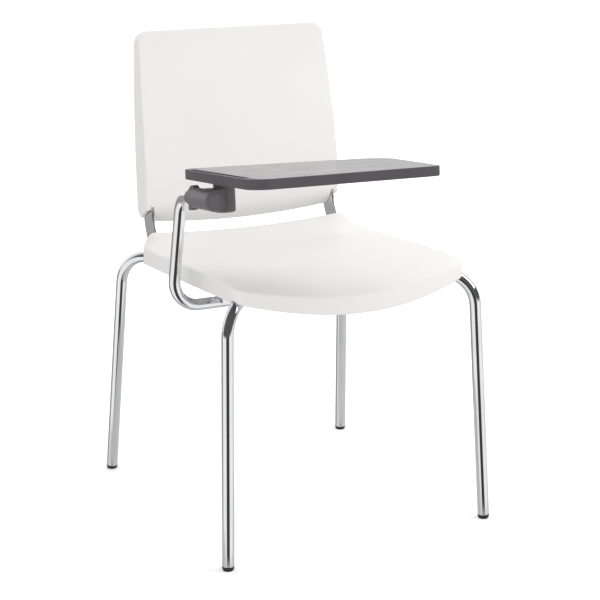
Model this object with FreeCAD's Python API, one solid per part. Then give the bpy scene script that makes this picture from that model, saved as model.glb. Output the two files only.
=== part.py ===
import FreeCAD, Part
import math
import os

# Tablet arm chair: white plastic seat and back on a chromed tube frame, with a folding writing tablet.
# Millimetres, +Z up, the sitter faces -Y and the tablet is on the sitter's right, at -X.

V = FreeCAD.Vector
UP = V(0, 0, 1)
ACROSS = V(1, 0, 0)
BACK = V(0, 1, 0)

# Frame tube and the four legs, which splay outwards from the seat to the floor
TUBE_D = 20.0
TUBE_WALL = 2.0
FRONT_FOOT = V(247.2, -264.7, 0)
FRONT_LEG_SLOPE = V(-0.0366, 0.0608, 1)
REAR_FOOT = V(246.0, 264.7, 0)
REAR_LEG_SLOPE = V(-0.0453, -0.0944, 1)
FRONT_BEND_Z = 444.0
REAR_BEND_Z = 426.0
FRONT_TURN_IN = 34.8
REAR_TURN_IN = 58.6
RUN_X = 171.5
RUN_FRONT_Z = 437.0
RUN_REAR_Z = 424.0
FRONT_BEND_R = 58.0
REAR_BEND_R = 61.0
RUN_BEND_R = 30.0
CROSS_TUBE_D = 18.0
FRONT_CROSS = (-140.0, 428.0)
REAR_CROSS = (100.0, 423.0)

# Foot caps
FOOT_CAP_D = 20.4
FOOT_CAP_H = 6.5
FOOT_NOSE_H = 4.0
FOOT_NOSE_D = 16.0
FOOT_PLUG_H = 18.0

# Seat shell: stations along Y give the height of the side edge and of the middle of the seat,
# and the raised rear lip falls away towards its two corners
SEAT_SKIN = 4.0
SEAT_HALF = 212.0
SEAT_FRONT_Y = -280.0
SEAT_FRONT_CORNER = V(215.0, -238.0, 0)
SEAT_SIDE_MIDDLE = V(215.0, -30.0, 0)
SEAT_REAR_CORNER = V(212.0, 167.0, 0)
SEAT_REAR_Y = 172.0
SEAT_FRONT_CORNER_R = 20.0
SEAT_REAR_CORNER_R = 5.5
SEAT_TOP = (
    (-315, 457, 436), (-280, 460.5, 441.5), (-237, 463, 445.5), (-170, 464.5, 446.5), (-90, 461, 443.5),
    (0, 456.5, 441), (60, 453.5, 440.5), (100, 450.5, 443), (130, 457, 448.5), (150, 465.5, 455),
    (172, 478, 463.5), (205, 498, 478),
)
SEAT_COLUMNS = (0, 70, 130, 165, 185, 195, 205, 215, 230, 250)
SEAT_LIP_X = 188.0
SEAT_LIP_Y = (90.0, 167.0)
SEAT_LIP_FALL = 28.0
SEAT_LIP_REACH = 1.3
SEAT_SPACE_Z = (380.0, 520.0)
BAR_NOTCH_GAP = 1.5
FRAME_NOTCH_GAP = 1.0
SKIRT_EDGE_Z = 425.0
SKIRT_EDGE_FALL = 0.0525
SKIRT_DIP_FRONT = 30.4
SKIRT_DIP_REAR = 5.0

# Seat lugs, bosses and screws
LUG_X = 147.0
LUG_YS = (-105.0, 60.0)
LUG_LENGTH = 30.0
LUG_REACH = 12.0
LUG_T = 4.0
BOSS_D = 15.0
SEAT_SCREW_D = 6.0
SEAT_SCREW_L = 15.0
SCREW_HEAD_RATIO = 1.9
SCREW_HEAD_H = 3.4

# Back uprights: flat bar on edge, with a knee just below the backrest
BAR_T = 5.0
BAR_DEPTH = 40.0
BAR_X = 185.4
BAR_TOP = (220.5, 645.0)
BAR_KNEE = (203.0, 489.0)
BAR_FOOT = (168.0, 427.0)
BAR_KNEE_R = 90.0
BAR_LEAN_IN = 1.9

# Backrest shell, open to the rear, with its lower edge rolled back
BACK_SKIN = 4.0
BACK_TOP_HALF = 183.4
BACK_WAIST = (192.6, 640.0)
BACK_LOW_HALF = 195.0
BACK_TOP_Z = 823.3
BACK_LOW_Z = 482.0
BACK_BOW = 13.0
BACK_BOW_Z = (490.0, 580.0)
BACK_HOLLOW = 4.0
BACK_CORNER_R = 20.0
BACK_GRID_HALF = 210.0
BACK_DEPTH = 200.0
BACK_FLANGE_FALL = 0.15
BACK_FLANGE_Y = 232.5
BACK_FRONT = (
    (850, 236.5), (823.3, 232.5), (800, 229.0), (740, 216.2), (700, 207.4), (650, 197.0), (600, 188.8),
    (570, 185.5), (540, 183.8), (520, 183.6), (508, 185.5), (498, 190.5), (489, 198.5), (470, 217.0),
)
BACK_REAR_TOP_Y = 256.5
BACK_REAR_LOW_Y = 227.0
RIB_T = 9.0
RIB_LOW_Z = 530.0
RIB_TOP_Z = 645.0
BACK_SCREW_ZS = (555.0, 620.0)
BACK_SCREW_D = 5.0
BACK_SCREW_L = 13.5
BAR_SLOT_GAP = 0.5
BACK_NOTCH = ((177.5, 460.0), (180.0, 504.0), (187.0, 508.5), (220.0, 508.5), (220.0, 460.0))
BACK_NOTCH_TOP = (188.0, 507.5)
BACK_NOTCH_FALL = 0.6

# Tablet arm tube and the saddle that carries it under the seat
ARM_Y = -77.5
ARM_RUN_Z = 400.0
ARM_END_X = -96.0
ARM_POST_LOW_X = -258.4
ARM_LOW_BEND_R = 43.0
ARM_TOP_BEND_R = 32.0
SADDLE_X = (-173.0, -104.0)
SADDLE_HALF = 15.0
SADDLE_TOP_Z = 424.0
ARM_BOLT_XS = (-145.0, -119.0)
ARM_BOLT_D = 6.0
ARM_NUT_ACROSS = 10.0
NUT_H = 5.0
PLUG_DEPTH = 14.0
PLUG_FLANGE = 3.0

# Tablet mechanism, set out on the barrel's axis: local -Y runs forward along it, local Z is up
MECH_ORIGIN = V(-238.5, -170.0, 599.6)
MECH_TILT = 6.2
MECH_DROOP = 1.0
COLLAR_FRONT = 24.0
COLLAR_WALL = 34.0
COLLAR_END = 53.0
COLLAR_R = 16.8
COLLAR_SHOULDER = (30.0, 33.0)
COLLAR_BODY_R = 12.4
COLLAR_RIDGE_HALF = 5.0
COLLAR_RIDGE_EDGE_R = 2.0
COLLAR_RIDGE = ((26.0, 16.0), (35.0, 20.0), (40.0, 20.0), (53.0, 11.5))
SET_SCREW_D = 6.0
SET_SCREW_Y = 46.0
SET_BOSS_D = 15.0
SET_BOSS_LOW = -20.6
SET_BOSS_EDGE_R = 1.5
SET_SCREW_SUNK = 0.6
TOOTH_R = (12.6, 15.6)
TOOTH_H = 3.4
TOOTH_ROOM_R = (12.2, 16.0)
TOOTH_ROOM_FLOOR = 19.6
BARREL_R = 16.8
BARREL_REAR = 23.4
BARREL_FRONT = -42.0
FLIP_PIN_D = 12.0
BUSH_WALL = 3.0
RUNNING_GAP = 0.05
CHAMBER_R = 14.5
CHAMBER_FLOOR = -14.0
CAP_T = 4.0
CAP_PROUD = 0.6
CAP_RING_R = (11.6, 12.6)
FLIP_PIN_FRONT = -34.0
FRICTION_WASHER_R = 12.5
FRICTION_WASHER_T = 2.0
SPRING_R = 11.6
SPRING_T = 1.4
SPRING_DISH = 1.5
SPRING_FIRST_Y = -16.1
SPRING_SECOND_Y = -19.1
FLIP_NUT_Y = (-31.0, -22.1)
NUT_ACROSS = 19.0
HUB_X = 35.5
HUB_R = 17.5
HUB_LOW = -23.0
HUB_TOP = 22.6
SWING_PIN_D = 14.0
HUB_CHAMBER_R = 12.0
HUB_CHAMBER_FLOOR = -12.0
HUB_CAP_T = 2.5
HUB_FOOT_R = 3.5
WEB_INSET = 1.0
SWING_PIN_LOW = -18.2
SWING_WASHER_D = 22.0
SWING_WASHER_Z = (-13.6, -12.1)
SWING_NUT_Z = (-18.0, -13.6)
STOP_PIN_D = 4.0
STOP_PIN_R = 13.3
STOP_PIN_DEPTH = 2.4
STOP_GROOVE_R = (11.0, 15.6)
STOP_GROOVE_DEPTH = 3.0
STOP_PIN_ANGLE = 12.0
STOP_WIDTH = 40.0
FLIP_RANGE = 90.0
SWING_RANGE = 180.0
STOP_ROOM = 1.5

# Mounting plate and writing tablet, in the mechanism's own frame
PLATE_LOW = 23.0
PLATE_T = 7.0
PLATE_LOW_R = 19.5
PLATE_TOP_R = 25.0
PLATE_SCREW_R = 15.2
PLATE_SCREW_D = 4.0
PLATE_SCREW_L = 13.0
TABLET_T = 16.0
TABLET_CORNERS = ((-13.0, 55.0), (330.5, -3.0), (310.5, -219.5), (-17.0, -219.5))
TABLET_CORNER_R = (14.0, 45.0, 14.0, 34.0)
RIM_W = 4.0
INLAY_T = 1.6
INLAY_LEFT = 16.0
INLAY_CORNER_R = (8.0, 41.0, 10.0, 18.0)
GROOVE_X = -6.8
GROOVE_W = 8.0
GROOVE_DEPTH = 3.5
GROOVE_Y = (-176.0, 22.0)
TABLET_SKIN = 7.0
TABLET_WALL = 4.0
TABLET_RIB_T = 2.5
TABLET_RIB_STEP = 55.0
TABLET_RIB_SHORT = 2.0
TABLET_PAD_HALF = 34.0
TABLET_EDGE_R = 1.2

# The feet's middle is this far behind the origin, which is below the middle of the whole outline
FEET_CENTRE_Y = 56.5


def mirrored(point, side):
    return V(point.x * side, point.y, point.z)


def rounded_path(points, radii):
    """Straight runs through the points, joined by tangent arcs of the given radii."""
    edges = []
    start = points[0]
    for index, radius in enumerate(radii, start=1):
        corner = points[index]
        inward = (corner - points[index - 1]).normalize()
        onward = (points[index + 1] - corner).normalize()
        turn = inward.getAngle(onward)
        tangent = radius * math.tan(turn / 2)
        towards_centre = (onward - inward).normalize()
        first = corner - inward * tangent
        middle = corner + towards_centre * (radius / math.cos(turn / 2) - radius)
        last = corner + onward * tangent
        edges.append(Part.LineSegment(start, first).toShape())
        edges.append(Part.Arc(first, middle, last).toShape())
        start = last
    edges.append(Part.LineSegment(start, points[-1]).toShape())
    return Part.Wire(edges)


def swept_rod(points, radii, diameter):
    """A round bar of the given diameter along a rounded path."""
    ring = Part.Wire(Part.makeCircle(diameter / 2, points[0], points[1] - points[0]))
    sweep = Part.BRepOffsetAPI.MakePipeShell(rounded_path(points, radii))
    sweep.add(ring)
    sweep.build()
    sweep.makeSolid()
    return sweep.shape()


def rod(diameter, start, end):
    """A straight round bar between two points."""
    along = end - start
    return Part.makeCylinder(diameter / 2, along.Length, start, along)


def box(low, high):
    return Part.makeBox(high.x - low.x, high.y - low.y, high.z - low.z, low)


def hexagon(across_flats, start, end):
    """A hexagonal bar between two points, as a nut or a bolt head."""
    along = end - start
    axis = V(along).normalize()
    beside = axis.cross(ACROSS)
    if beside.Length < 0.1:
        beside = axis.cross(BACK)
    beside.normalize()
    corner = beside * (across_flats / math.sqrt(3))
    points = []
    for step in range(7):
        points.append(start + FreeCAD.Rotation(axis, 60 * (step % 6)).multVec(corner))
    return Part.Face(Part.makePolygon(points)).extrude(along)


def screw(diameter, length, seat_point, along, head_h=SCREW_HEAD_H):
    """A pan-head screw: its head sits on seat_point and its shank runs along the direction."""
    along = V(along).normalize()
    shank = rod(diameter, seat_point, seat_point + along * length)
    head = rod(diameter * SCREW_HEAD_RATIO, seat_point - along * head_h, seat_point)
    return shank.fuse(head).removeSplitter()


def ring_sector(inner, outer, y_low, y_high, start_angle, sweep):
    """Part of a ring about the local Y axis; angles run from +X towards +Z."""
    profile = Part.makePolygon([
        V(inner, y_low, 0), V(outer, y_low, 0), V(outer, y_high, 0), V(inner, y_high, 0), V(inner, y_low, 0),
    ])
    profile.rotate(V(0, 0, 0), -BACK, start_angle)
    return Part.Face(profile).revolve(V(0, 0, 0), -BACK, sweep)


def surface_between(rows):
    """A smooth sheet through rows of points."""
    sheet = Part.BSplineSurface()
    sheet.interpolate(rows)
    return sheet.toShape()


def edges_along(prism, direction):
    """The prism's straight edges that run in a direction."""
    edges = []
    for edge in prism.Edges:
        ends = [vertex.Point for vertex in edge.Vertexes]
        if len(ends) == 2 and (ends[0] - ends[1]).cross(direction).Length < 0.01:
            edges.append(edge)
    return edges


# Frame

def side_frame_points(side):
    """Corners of one side frame: front leg, run under the seat, rear leg."""
    front_bend = FRONT_FOOT + FRONT_LEG_SLOPE * FRONT_BEND_Z
    rear_bend = REAR_FOOT + REAR_LEG_SLOPE * REAR_BEND_Z
    front_in = (front_bend.x - RUN_X) * math.tan(math.radians(FRONT_TURN_IN))
    rear_in = (rear_bend.x - RUN_X) * math.tan(math.radians(REAR_TURN_IN))
    corners = [
        FRONT_FOOT + FRONT_LEG_SLOPE * FOOT_CAP_H,
        front_bend,
        V(RUN_X, front_bend.y + front_in, RUN_FRONT_Z),
        V(RUN_X, rear_bend.y - rear_in, RUN_REAR_Z),
        rear_bend,
        REAR_FOOT + REAR_LEG_SLOPE * FOOT_CAP_H,
    ]
    return [mirrored(corner, side) for corner in corners]


SIDE_RADII = (FRONT_BEND_R, RUN_BEND_R, RUN_BEND_R, REAR_BEND_R)


def side_frame_rod(side, diameter):
    return swept_rod(side_frame_points(side), SIDE_RADII, diameter)


def side_frame(side):
    return side_frame_rod(side, TUBE_D).cut(side_frame_rod(side, TUBE_D - 2 * TUBE_WALL))


def run_height(y):
    """Height of the side frame's axis where it runs under the seat."""
    corners = side_frame_points(1)
    share = (y - corners[2].y) / (corners[3].y - corners[2].y)
    return RUN_FRONT_Z + share * (RUN_REAR_Z - RUN_FRONT_Z)


def cross_tube(place):
    y, z = place
    bore = CROSS_TUBE_D - 2 * TUBE_WALL
    tube = rod(CROSS_TUBE_D, V(-RUN_X, y, z), V(RUN_X, y, z))
    tube = tube.cut(rod(bore, V(-RUN_X, y, z), V(RUN_X, y, z)))
    for side in (-1, 1):
        tube = tube.cut(side_frame_rod(side, TUBE_D))
    pieces = sorted(tube.Solids, key=lambda solid: solid.Volume)
    return pieces[-1]


def foot_cap(foot, slope, side):
    """A moulded cap: a plug in the tube, a short collar and a nose cut flat on the floor."""
    base = mirrored(foot, side)
    axis = mirrored(slope, side)
    axis.normalize()
    rise = slope.Length
    seat = base + axis * (FOOT_CAP_H * rise)
    collar_start = base + axis * FOOT_NOSE_H
    collar = rod(FOOT_CAP_D, collar_start, seat)
    nose_start = base - axis
    nose = Part.makeCone(FOOT_NOSE_D / 2, FOOT_CAP_D / 2, FOOT_NOSE_H + 1, nose_start, axis)
    plug = rod(TUBE_D - 2 * TUBE_WALL, seat, seat + axis * FOOT_PLUG_H)
    cap = collar.fuse([nose, plug]).removeSplitter()
    beneath = V(FOOT_CAP_D, FOOT_CAP_D, FOOT_CAP_D)
    floor = box(base - beneath, base + V(FOOT_CAP_D, FOOT_CAP_D, 0))
    return cap.cut(floor)


def seat_lugs():
    """Four plates welded to the inner sides of the side frames, drilled for the seat screws."""
    lugs = []
    for side in (-1, 1):
        frame = side_frame_rod(side, TUBE_D)
        for y in LUG_YS:
            top = run_height(y)
            inner, outer = sorted((side * (LUG_X - LUG_REACH), side * RUN_X))
            plate = box(V(inner, y - LUG_LENGTH / 2, top - LUG_T), V(outer, y + LUG_LENGTH / 2, top))
            hole = rod(SEAT_SCREW_D, V(side * LUG_X, y, top - 10), V(side * LUG_X, y, top + 10))
            plate = plate.cut(frame.fuse(hole))
            lugs.append(max(plate.Solids, key=lambda solid: solid.Volume))
    return Part.makeCompound(lugs)


def seat_screws():
    screws = []
    for side in (-1, 1):
        for y in LUG_YS:
            below = V(side * LUG_X, y, run_height(y) - LUG_T)
            screws.append(screw(SEAT_SCREW_D, SEAT_SCREW_L, below, UP))
    return Part.makeCompound(screws)


# Seat

def lip_fall(x, y):
    """How far the seat's top falls below its plain dish near the rear corners."""
    beyond = min(SEAT_LIP_REACH, max(0, abs(x) - SEAT_LIP_X) / (SEAT_HALF - SEAT_LIP_X))
    start, end = SEAT_LIP_Y
    share = min(1, max(0, (y - start) / (end - start)))
    return SEAT_LIP_FALL * share ** 2 * beyond ** 2


def seat_sheet(stations, fall):
    """A sheet that is level across each station's sides and dips to its middle height."""
    columns = [-x for x in reversed(SEAT_COLUMNS[1:])] + list(SEAT_COLUMNS)
    rows = []
    for y, side_z, middle_z in stations:
        row = []
        for x in columns:
            z = middle_z + (side_z - middle_z) * (x / SEAT_HALF) ** 2
            row.append(V(x, y, z - fall(x, y)))
        rows.append(row)
    return surface_between(rows)


def skirt_stations():
    stations = []
    first, last = SEAT_TOP[0][0], SEAT_TOP[-1][0]
    for step in range(5):
        y = first + (last - first) * step / 4
        share = (SEAT_REAR_Y - y) / (SEAT_REAR_Y - SEAT_FRONT_Y)
        dip = SKIRT_DIP_REAR + share * (SKIRT_DIP_FRONT - SKIRT_DIP_REAR)
        edge = SKIRT_EDGE_Z - SKIRT_EDGE_FALL * y
        stations.append((y, edge, edge - dip))
    return stations


def seat_prism(inset):
    """Plan of the seat drawn in by an inset: four shallow arcs with rounded corners."""
    low, high = SEAT_SPACE_Z
    front = SEAT_FRONT_CORNER + V(-inset, inset, low)
    middle = SEAT_SIDE_MIDDLE + V(-inset, 0, low)
    rear = SEAT_REAR_CORNER + V(-inset, -inset, low)
    arcs = (
        Part.Arc(mirrored(front, -1), V(0, SEAT_FRONT_Y + inset, low), front),
        Part.Arc(front, middle, rear),
        Part.Arc(rear, V(0, SEAT_REAR_Y - inset, low), mirrored(rear, -1)),
        Part.Arc(mirrored(rear, -1), mirrored(middle, -1), mirrored(front, -1)),
    )
    plan = Part.Wire([arc.toShape() for arc in arcs])
    prism = Part.Face(plan).extrude(UP * (high - low))
    front_edges = [edge for edge in edges_along(prism, UP) if edge.CenterOfMass.y < 0]
    prism = prism.makeFillet(SEAT_FRONT_CORNER_R - inset, front_edges)
    rear_edges = [edge for edge in edges_along(prism, UP) if abs(edge.CenterOfMass.y - rear.y) < 1]
    return prism.makeFillet(SEAT_REAR_CORNER_R - inset, rear_edges)


def seat_shell():
    """A moulded shell: a dished top, a skirt all round it and bosses over the lugs."""
    low, high = SEAT_SPACE_Z
    top = seat_sheet(SEAT_TOP, lip_fall)
    body = seat_prism(0).common(top.extrude(UP * -(high - low)))
    skirt_foot = seat_sheet(skirt_stations(), lambda x, y: 0)
    body = body.cut(skirt_foot.extrude(UP * -(high - low)))
    under = top.translated(UP * -SEAT_SKIN)
    hollow = seat_prism(SEAT_SKIN).common(under.extrude(UP * -(high - low)))
    shell = body.cut(hollow)
    for side in (-1, 1):
        for y in LUG_YS:
            foot = V(side * LUG_X, y, run_height(y))
            boss = rod(BOSS_D, foot, foot + UP * 60)
            boss = boss.cut(rod(SEAT_SCREW_D, foot, foot + UP * (SEAT_SCREW_L - LUG_T)))
            boss = boss.common(top.translated(UP * -SEAT_SKIN / 2).extrude(UP * -(high - low)))
            shell = shell.fuse(boss)
        notch = upright_blank(side, BAR_NOTCH_GAP)
        shell = shell.cut(notch).cut(side_frame_rod(side, TUBE_D + 2 * FRAME_NOTCH_GAP))
    return max(shell.removeSplitter().Solids, key=lambda solid: solid.Volume)


# Back uprights and backrest

def lean_in(shape, side):
    """Turns a piece set out upright at the bar's foot to the inward lean of the back."""
    foot = V(side * BAR_X, BAR_FOOT[0], BAR_FOOT[1])
    leaned = shape.copy()
    leaned.rotate(foot, BACK, -side * BAR_LEAN_IN)
    return leaned


def upright_blank(side, gap=0.0):
    """The bent bar before it is trimmed; a gap makes the room for it in the shells."""
    points = [V(side * BAR_X, y, z) for y, z in (BAR_FOOT, BAR_KNEE, BAR_TOP)]
    along = (points[1] - points[0]).normalize()
    points[0] = points[0] - along * (10 * gap)
    points[2] = points[2] + (points[2] - points[1]).normalize() * gap
    half_t = BAR_T / 2 + gap
    deep = ACROSS.cross(along) * (BAR_DEPTH / 2 + gap)
    corners = []
    for across_sign, deep_sign in ((-1, -1), (1, -1), (1, 1), (-1, 1), (-1, -1)):
        corners.append(points[0] + ACROSS * (across_sign * half_t) + deep * deep_sign)
    sweep = Part.BRepOffsetAPI.MakePipeShell(rounded_path(points, (BAR_KNEE_R,)))
    sweep.add(Part.makePolygon(corners))
    sweep.build()
    sweep.makeSolid()
    return lean_in(sweep.shape(), side)


def back_screw_axis(side, z):
    """Where a backrest screw meets the bar, in the upright setting-out."""
    share = (z - BAR_KNEE[1]) / (BAR_TOP[1] - BAR_KNEE[1])
    y = BAR_KNEE[0] + share * (BAR_TOP[0] - BAR_KNEE[0])
    return V(side * (BAR_X - BAR_T / 2), y, z)


def back_screw(side, z):
    head_seat = back_screw_axis(side, z) - ACROSS * (side * RIB_T)
    return lean_in(screw(BACK_SCREW_D, BACK_SCREW_L, head_seat, ACROSS * side), side)


def back_screw_hole(side, z):
    start = back_screw_axis(side, z) - ACROSS * (side * RIB_T)
    return lean_in(rod(BACK_SCREW_D, start, start + ACROSS * (side * BACK_SCREW_L)), side)


def back_upright(side):
    bar = upright_blank(side).cut(side_frame_rod(side, TUBE_D))
    bar = max(bar.Solids, key=lambda solid: solid.Volume)
    for z in BACK_SCREW_ZS:
        bar = bar.cut(back_screw_hole(side, z))
    return bar


def back_screws():
    return Part.makeCompound([back_screw(side, z) for side in (-1, 1) for z in BACK_SCREW_ZS])


def back_sheet(behind):
    """The backrest's front skin, moved back by the given distance."""
    rows = []
    for z, y in BACK_FRONT:
        row = []
        for step in range(-3, 4):
            x = BACK_GRID_HALF * step / 3
            crown = 1 - (x / BACK_LOW_HALF) ** 2
            share = (BACK_BOW_Z[1] - z) / (BACK_BOW_Z[1] - BACK_BOW_Z[0])
            bow = BACK_BOW * crown * min(1, max(0, share))
            row.append(V(x, y + BACK_HOLLOW * crown + behind, z - bow))
        rows.append(row)
    return surface_between(rows)


def back_outline(inset):
    """Front view of the backrest, drawn back along its flanges, which fall a little to the rear."""
    rise = BACK_FLANGE_FALL * BACK_FLANGE_Y
    top_half = BACK_TOP_HALF - inset
    low_half = BACK_LOW_HALF - inset
    top_z = BACK_TOP_Z - inset + rise
    low_z = BACK_LOW_Z + inset + rise
    waist = V(BACK_WAIST[0] - inset, 0, BACK_WAIST[1] + rise)
    low_left, low_right = V(-low_half, 0, low_z), V(low_half, 0, low_z)
    top_left, top_right = V(-top_half, 0, top_z), V(top_half, 0, top_z)
    edges = [
        Part.Arc(low_left, V(0, 0, low_z - BACK_BOW), low_right).toShape(),
        Part.Arc(low_right, waist, top_right).toShape(),
        Part.LineSegment(top_right, top_left).toShape(),
        Part.Arc(top_left, mirrored(waist, -1), low_left).toShape(),
    ]
    rearward = BACK - UP * BACK_FLANGE_FALL
    prism = Part.Face(Part.Wire(edges)).extrude(rearward * 2 * BACK_DEPTH)
    return prism.makeFillet(BACK_CORNER_R - inset, edges_along(prism, rearward))


def behind_back():
    """Everything behind the backrest's open rear edge."""
    lean = (BACK_REAR_TOP_Y - BACK_REAR_LOW_Y) / (BACK_TOP_Z - BACK_LOW_Z)
    below, above = BACK_LOW_Z - 2 * BACK_CORNER_R, BACK_TOP_Z + 2 * BACK_CORNER_R
    low_y = BACK_REAR_LOW_Y + lean * (below - BACK_LOW_Z)
    high_y = BACK_REAR_LOW_Y + lean * (above - BACK_LOW_Z)
    side, far = -2 * BACK_LOW_HALF, 2 * BACK_DEPTH
    profile = Part.makePolygon([
        V(side, low_y, below), V(side, far, below), V(side, far, above), V(side, high_y, above),
        V(side, low_y, below),
    ])
    return Part.Face(profile).extrude(ACROSS * -2 * side)


def back_rib(side):
    """A moulded rib beside the bar, which takes the screws."""
    inner, outer = sorted((side * (BAR_X - BAR_T / 2 - RIB_T), side * (BAR_X - BAR_T / 2)))
    rib = box(V(inner, 0, RIB_LOW_Z), V(outer, 2 * BACK_DEPTH, RIB_TOP_Z))
    return lean_in(rib, side)


def back_notch(side):
    """A corner cut out of the rolled lower edge, where the bar comes out; its top falls to the rear."""
    corners = [V(side * x, 0, z) for x, z in BACK_NOTCH]
    opening = Part.Face(Part.makePolygon(corners + corners[:1])).extrude(BACK * 2 * BACK_DEPTH)
    y, z = BACK_NOTCH_TOP
    far = 2 * BACK_DEPTH
    front, rear = V(0, 0, z + BACK_NOTCH_FALL * y), V(0, far, z - BACK_NOTCH_FALL * (far - y))
    section = Part.makePolygon([front, rear, front - UP * far, front])
    beneath = Part.Face(section).extrude(ACROSS * (side * far))
    return opening.common(beneath)


def backrest_shell():
    solid = back_outline(0).common(back_sheet(0).extrude(BACK * BACK_DEPTH)).cut(behind_back())
    pocket = back_outline(BACK_SKIN).common(back_sheet(BACK_SKIN).extrude(BACK * BACK_DEPTH))
    shell = solid.cut(pocket)
    for side in (-1, 1):
        rib = back_rib(side).common(solid)
        shell = shell.fuse(rib)
        for z in BACK_SCREW_ZS:
            shell = shell.cut(back_screw_hole(side, z))
        slot = upright_blank(side, BAR_SLOT_GAP)
        shell = shell.cut(slot.fuse(slot.translated(BACK * BAR_DEPTH / 2))).cut(back_notch(side))
    return max(shell.removeSplitter().Solids, key=lambda solid: solid.Volume)


# Tablet arm

def mech_placement():
    tilt = FreeCAD.Rotation(ACROSS, -MECH_TILT)
    droop = FreeCAD.Rotation(BACK, MECH_DROOP)
    return FreeCAD.Placement(MECH_ORIGIN, tilt.multiply(droop))


def in_place(shape):
    """Moves a piece from the mechanism's own frame to its place on the chair."""
    moved = shape.copy()
    moved.Placement = mech_placement().multiply(moved.Placement)
    return moved


def arm_points():
    """Corners of the arm tube: under the seat, up beside it, then forward into the collar."""
    forward_end = mech_placement().multVec(V(0, COLLAR_WALL, 0))
    along_back = mech_placement().Rotation.multVec(BACK)
    reach = (ARM_Y - forward_end.y) / along_back.y
    top = forward_end + along_back * reach
    return [V(ARM_END_X, ARM_Y, ARM_RUN_Z), V(ARM_POST_LOW_X, ARM_Y, ARM_RUN_Z), top, forward_end]


ARM_RADII = (ARM_LOW_BEND_R, ARM_TOP_BEND_R)


def arm_rod(diameter):
    return swept_rod(arm_points(), ARM_RADII, diameter)


def arm_bolt_ends(x):
    radius = TUBE_D / 2
    return V(x, ARM_Y, ARM_RUN_Z - radius), V(x, ARM_Y, SADDLE_TOP_Z)


def arm_tube():
    tube = arm_rod(TUBE_D).cut(arm_rod(TUBE_D - 2 * TUBE_WALL))
    for x in ARM_BOLT_XS:
        low, high = arm_bolt_ends(x)
        tube = tube.cut(rod(ARM_BOLT_D, low - UP * 5, high))
    return tube


def arm_saddle():
    """A block welded under the side frame, grooved to seat the arm tube."""
    low = V(SADDLE_X[0], ARM_Y - SADDLE_HALF, ARM_RUN_Z)
    high = V(SADDLE_X[1], ARM_Y + SADDLE_HALF, SADDLE_TOP_Z)
    block = box(low, high).cut(side_frame_rod(-1, TUBE_D))
    block = block.cut(arm_rod(TUBE_D))
    for x in ARM_BOLT_XS:
        bottom, top = arm_bolt_ends(x)
        block = block.cut(rod(ARM_BOLT_D, bottom, top + UP))
    return max(block.Solids, key=lambda solid: solid.Volume)


def arm_bolts():
    bolts = []
    for x in ARM_BOLT_XS:
        bottom, top = arm_bolt_ends(x)
        shank = rod(ARM_BOLT_D, bottom, top + UP * (NUT_H + 2))
        head = rod(ARM_BOLT_D * SCREW_HEAD_RATIO, bottom - UP * SCREW_HEAD_H, bottom + UP * 2)
        bolt = shank.fuse(head.cut(arm_rod(TUBE_D))).removeSplitter()
        bolts.append(max(bolt.Solids, key=lambda solid: solid.Volume))
    return Part.makeCompound(bolts)


def arm_nuts():
    nuts = []
    for x in ARM_BOLT_XS:
        top = arm_bolt_ends(x)[1]
        nut = hexagon(ARM_NUT_ACROSS, top, top + UP * NUT_H)
        nuts.append(nut.cut(rod(ARM_BOLT_D, top, top + UP * NUT_H)))
    return Part.makeCompound(nuts)


def arm_end_plug():
    end = arm_points()[0]
    plug = rod(TUBE_D - 2 * TUBE_WALL, end - ACROSS * PLUG_DEPTH, end)
    flange = rod(TUBE_D, end, end + ACROSS * PLUG_FLANGE)
    flange = flange.makeFillet(PLUG_FLANGE / 2, [max(flange.Edges, key=lambda edge: edge.CenterOfMass.x)])
    return plug.fuse(flange).removeSplitter()


# Tablet mechanism, in its own frame

def turned(profile):
    """A solid of revolution about the local Y axis from (radius, y) points."""
    points = [V(radius, y, 0) for radius, y in profile]
    points.append(points[0])
    return Part.Face(Part.makePolygon(points)).revolve(V(0, 0, 0), BACK, 360)


def collar_set_screw():
    low, high = V(0, SET_SCREW_Y, SET_BOSS_LOW + SET_SCREW_SUNK), V(0, SET_SCREW_Y, -TUBE_D / 2)
    return rod(SET_SCREW_D, low, high)


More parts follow.
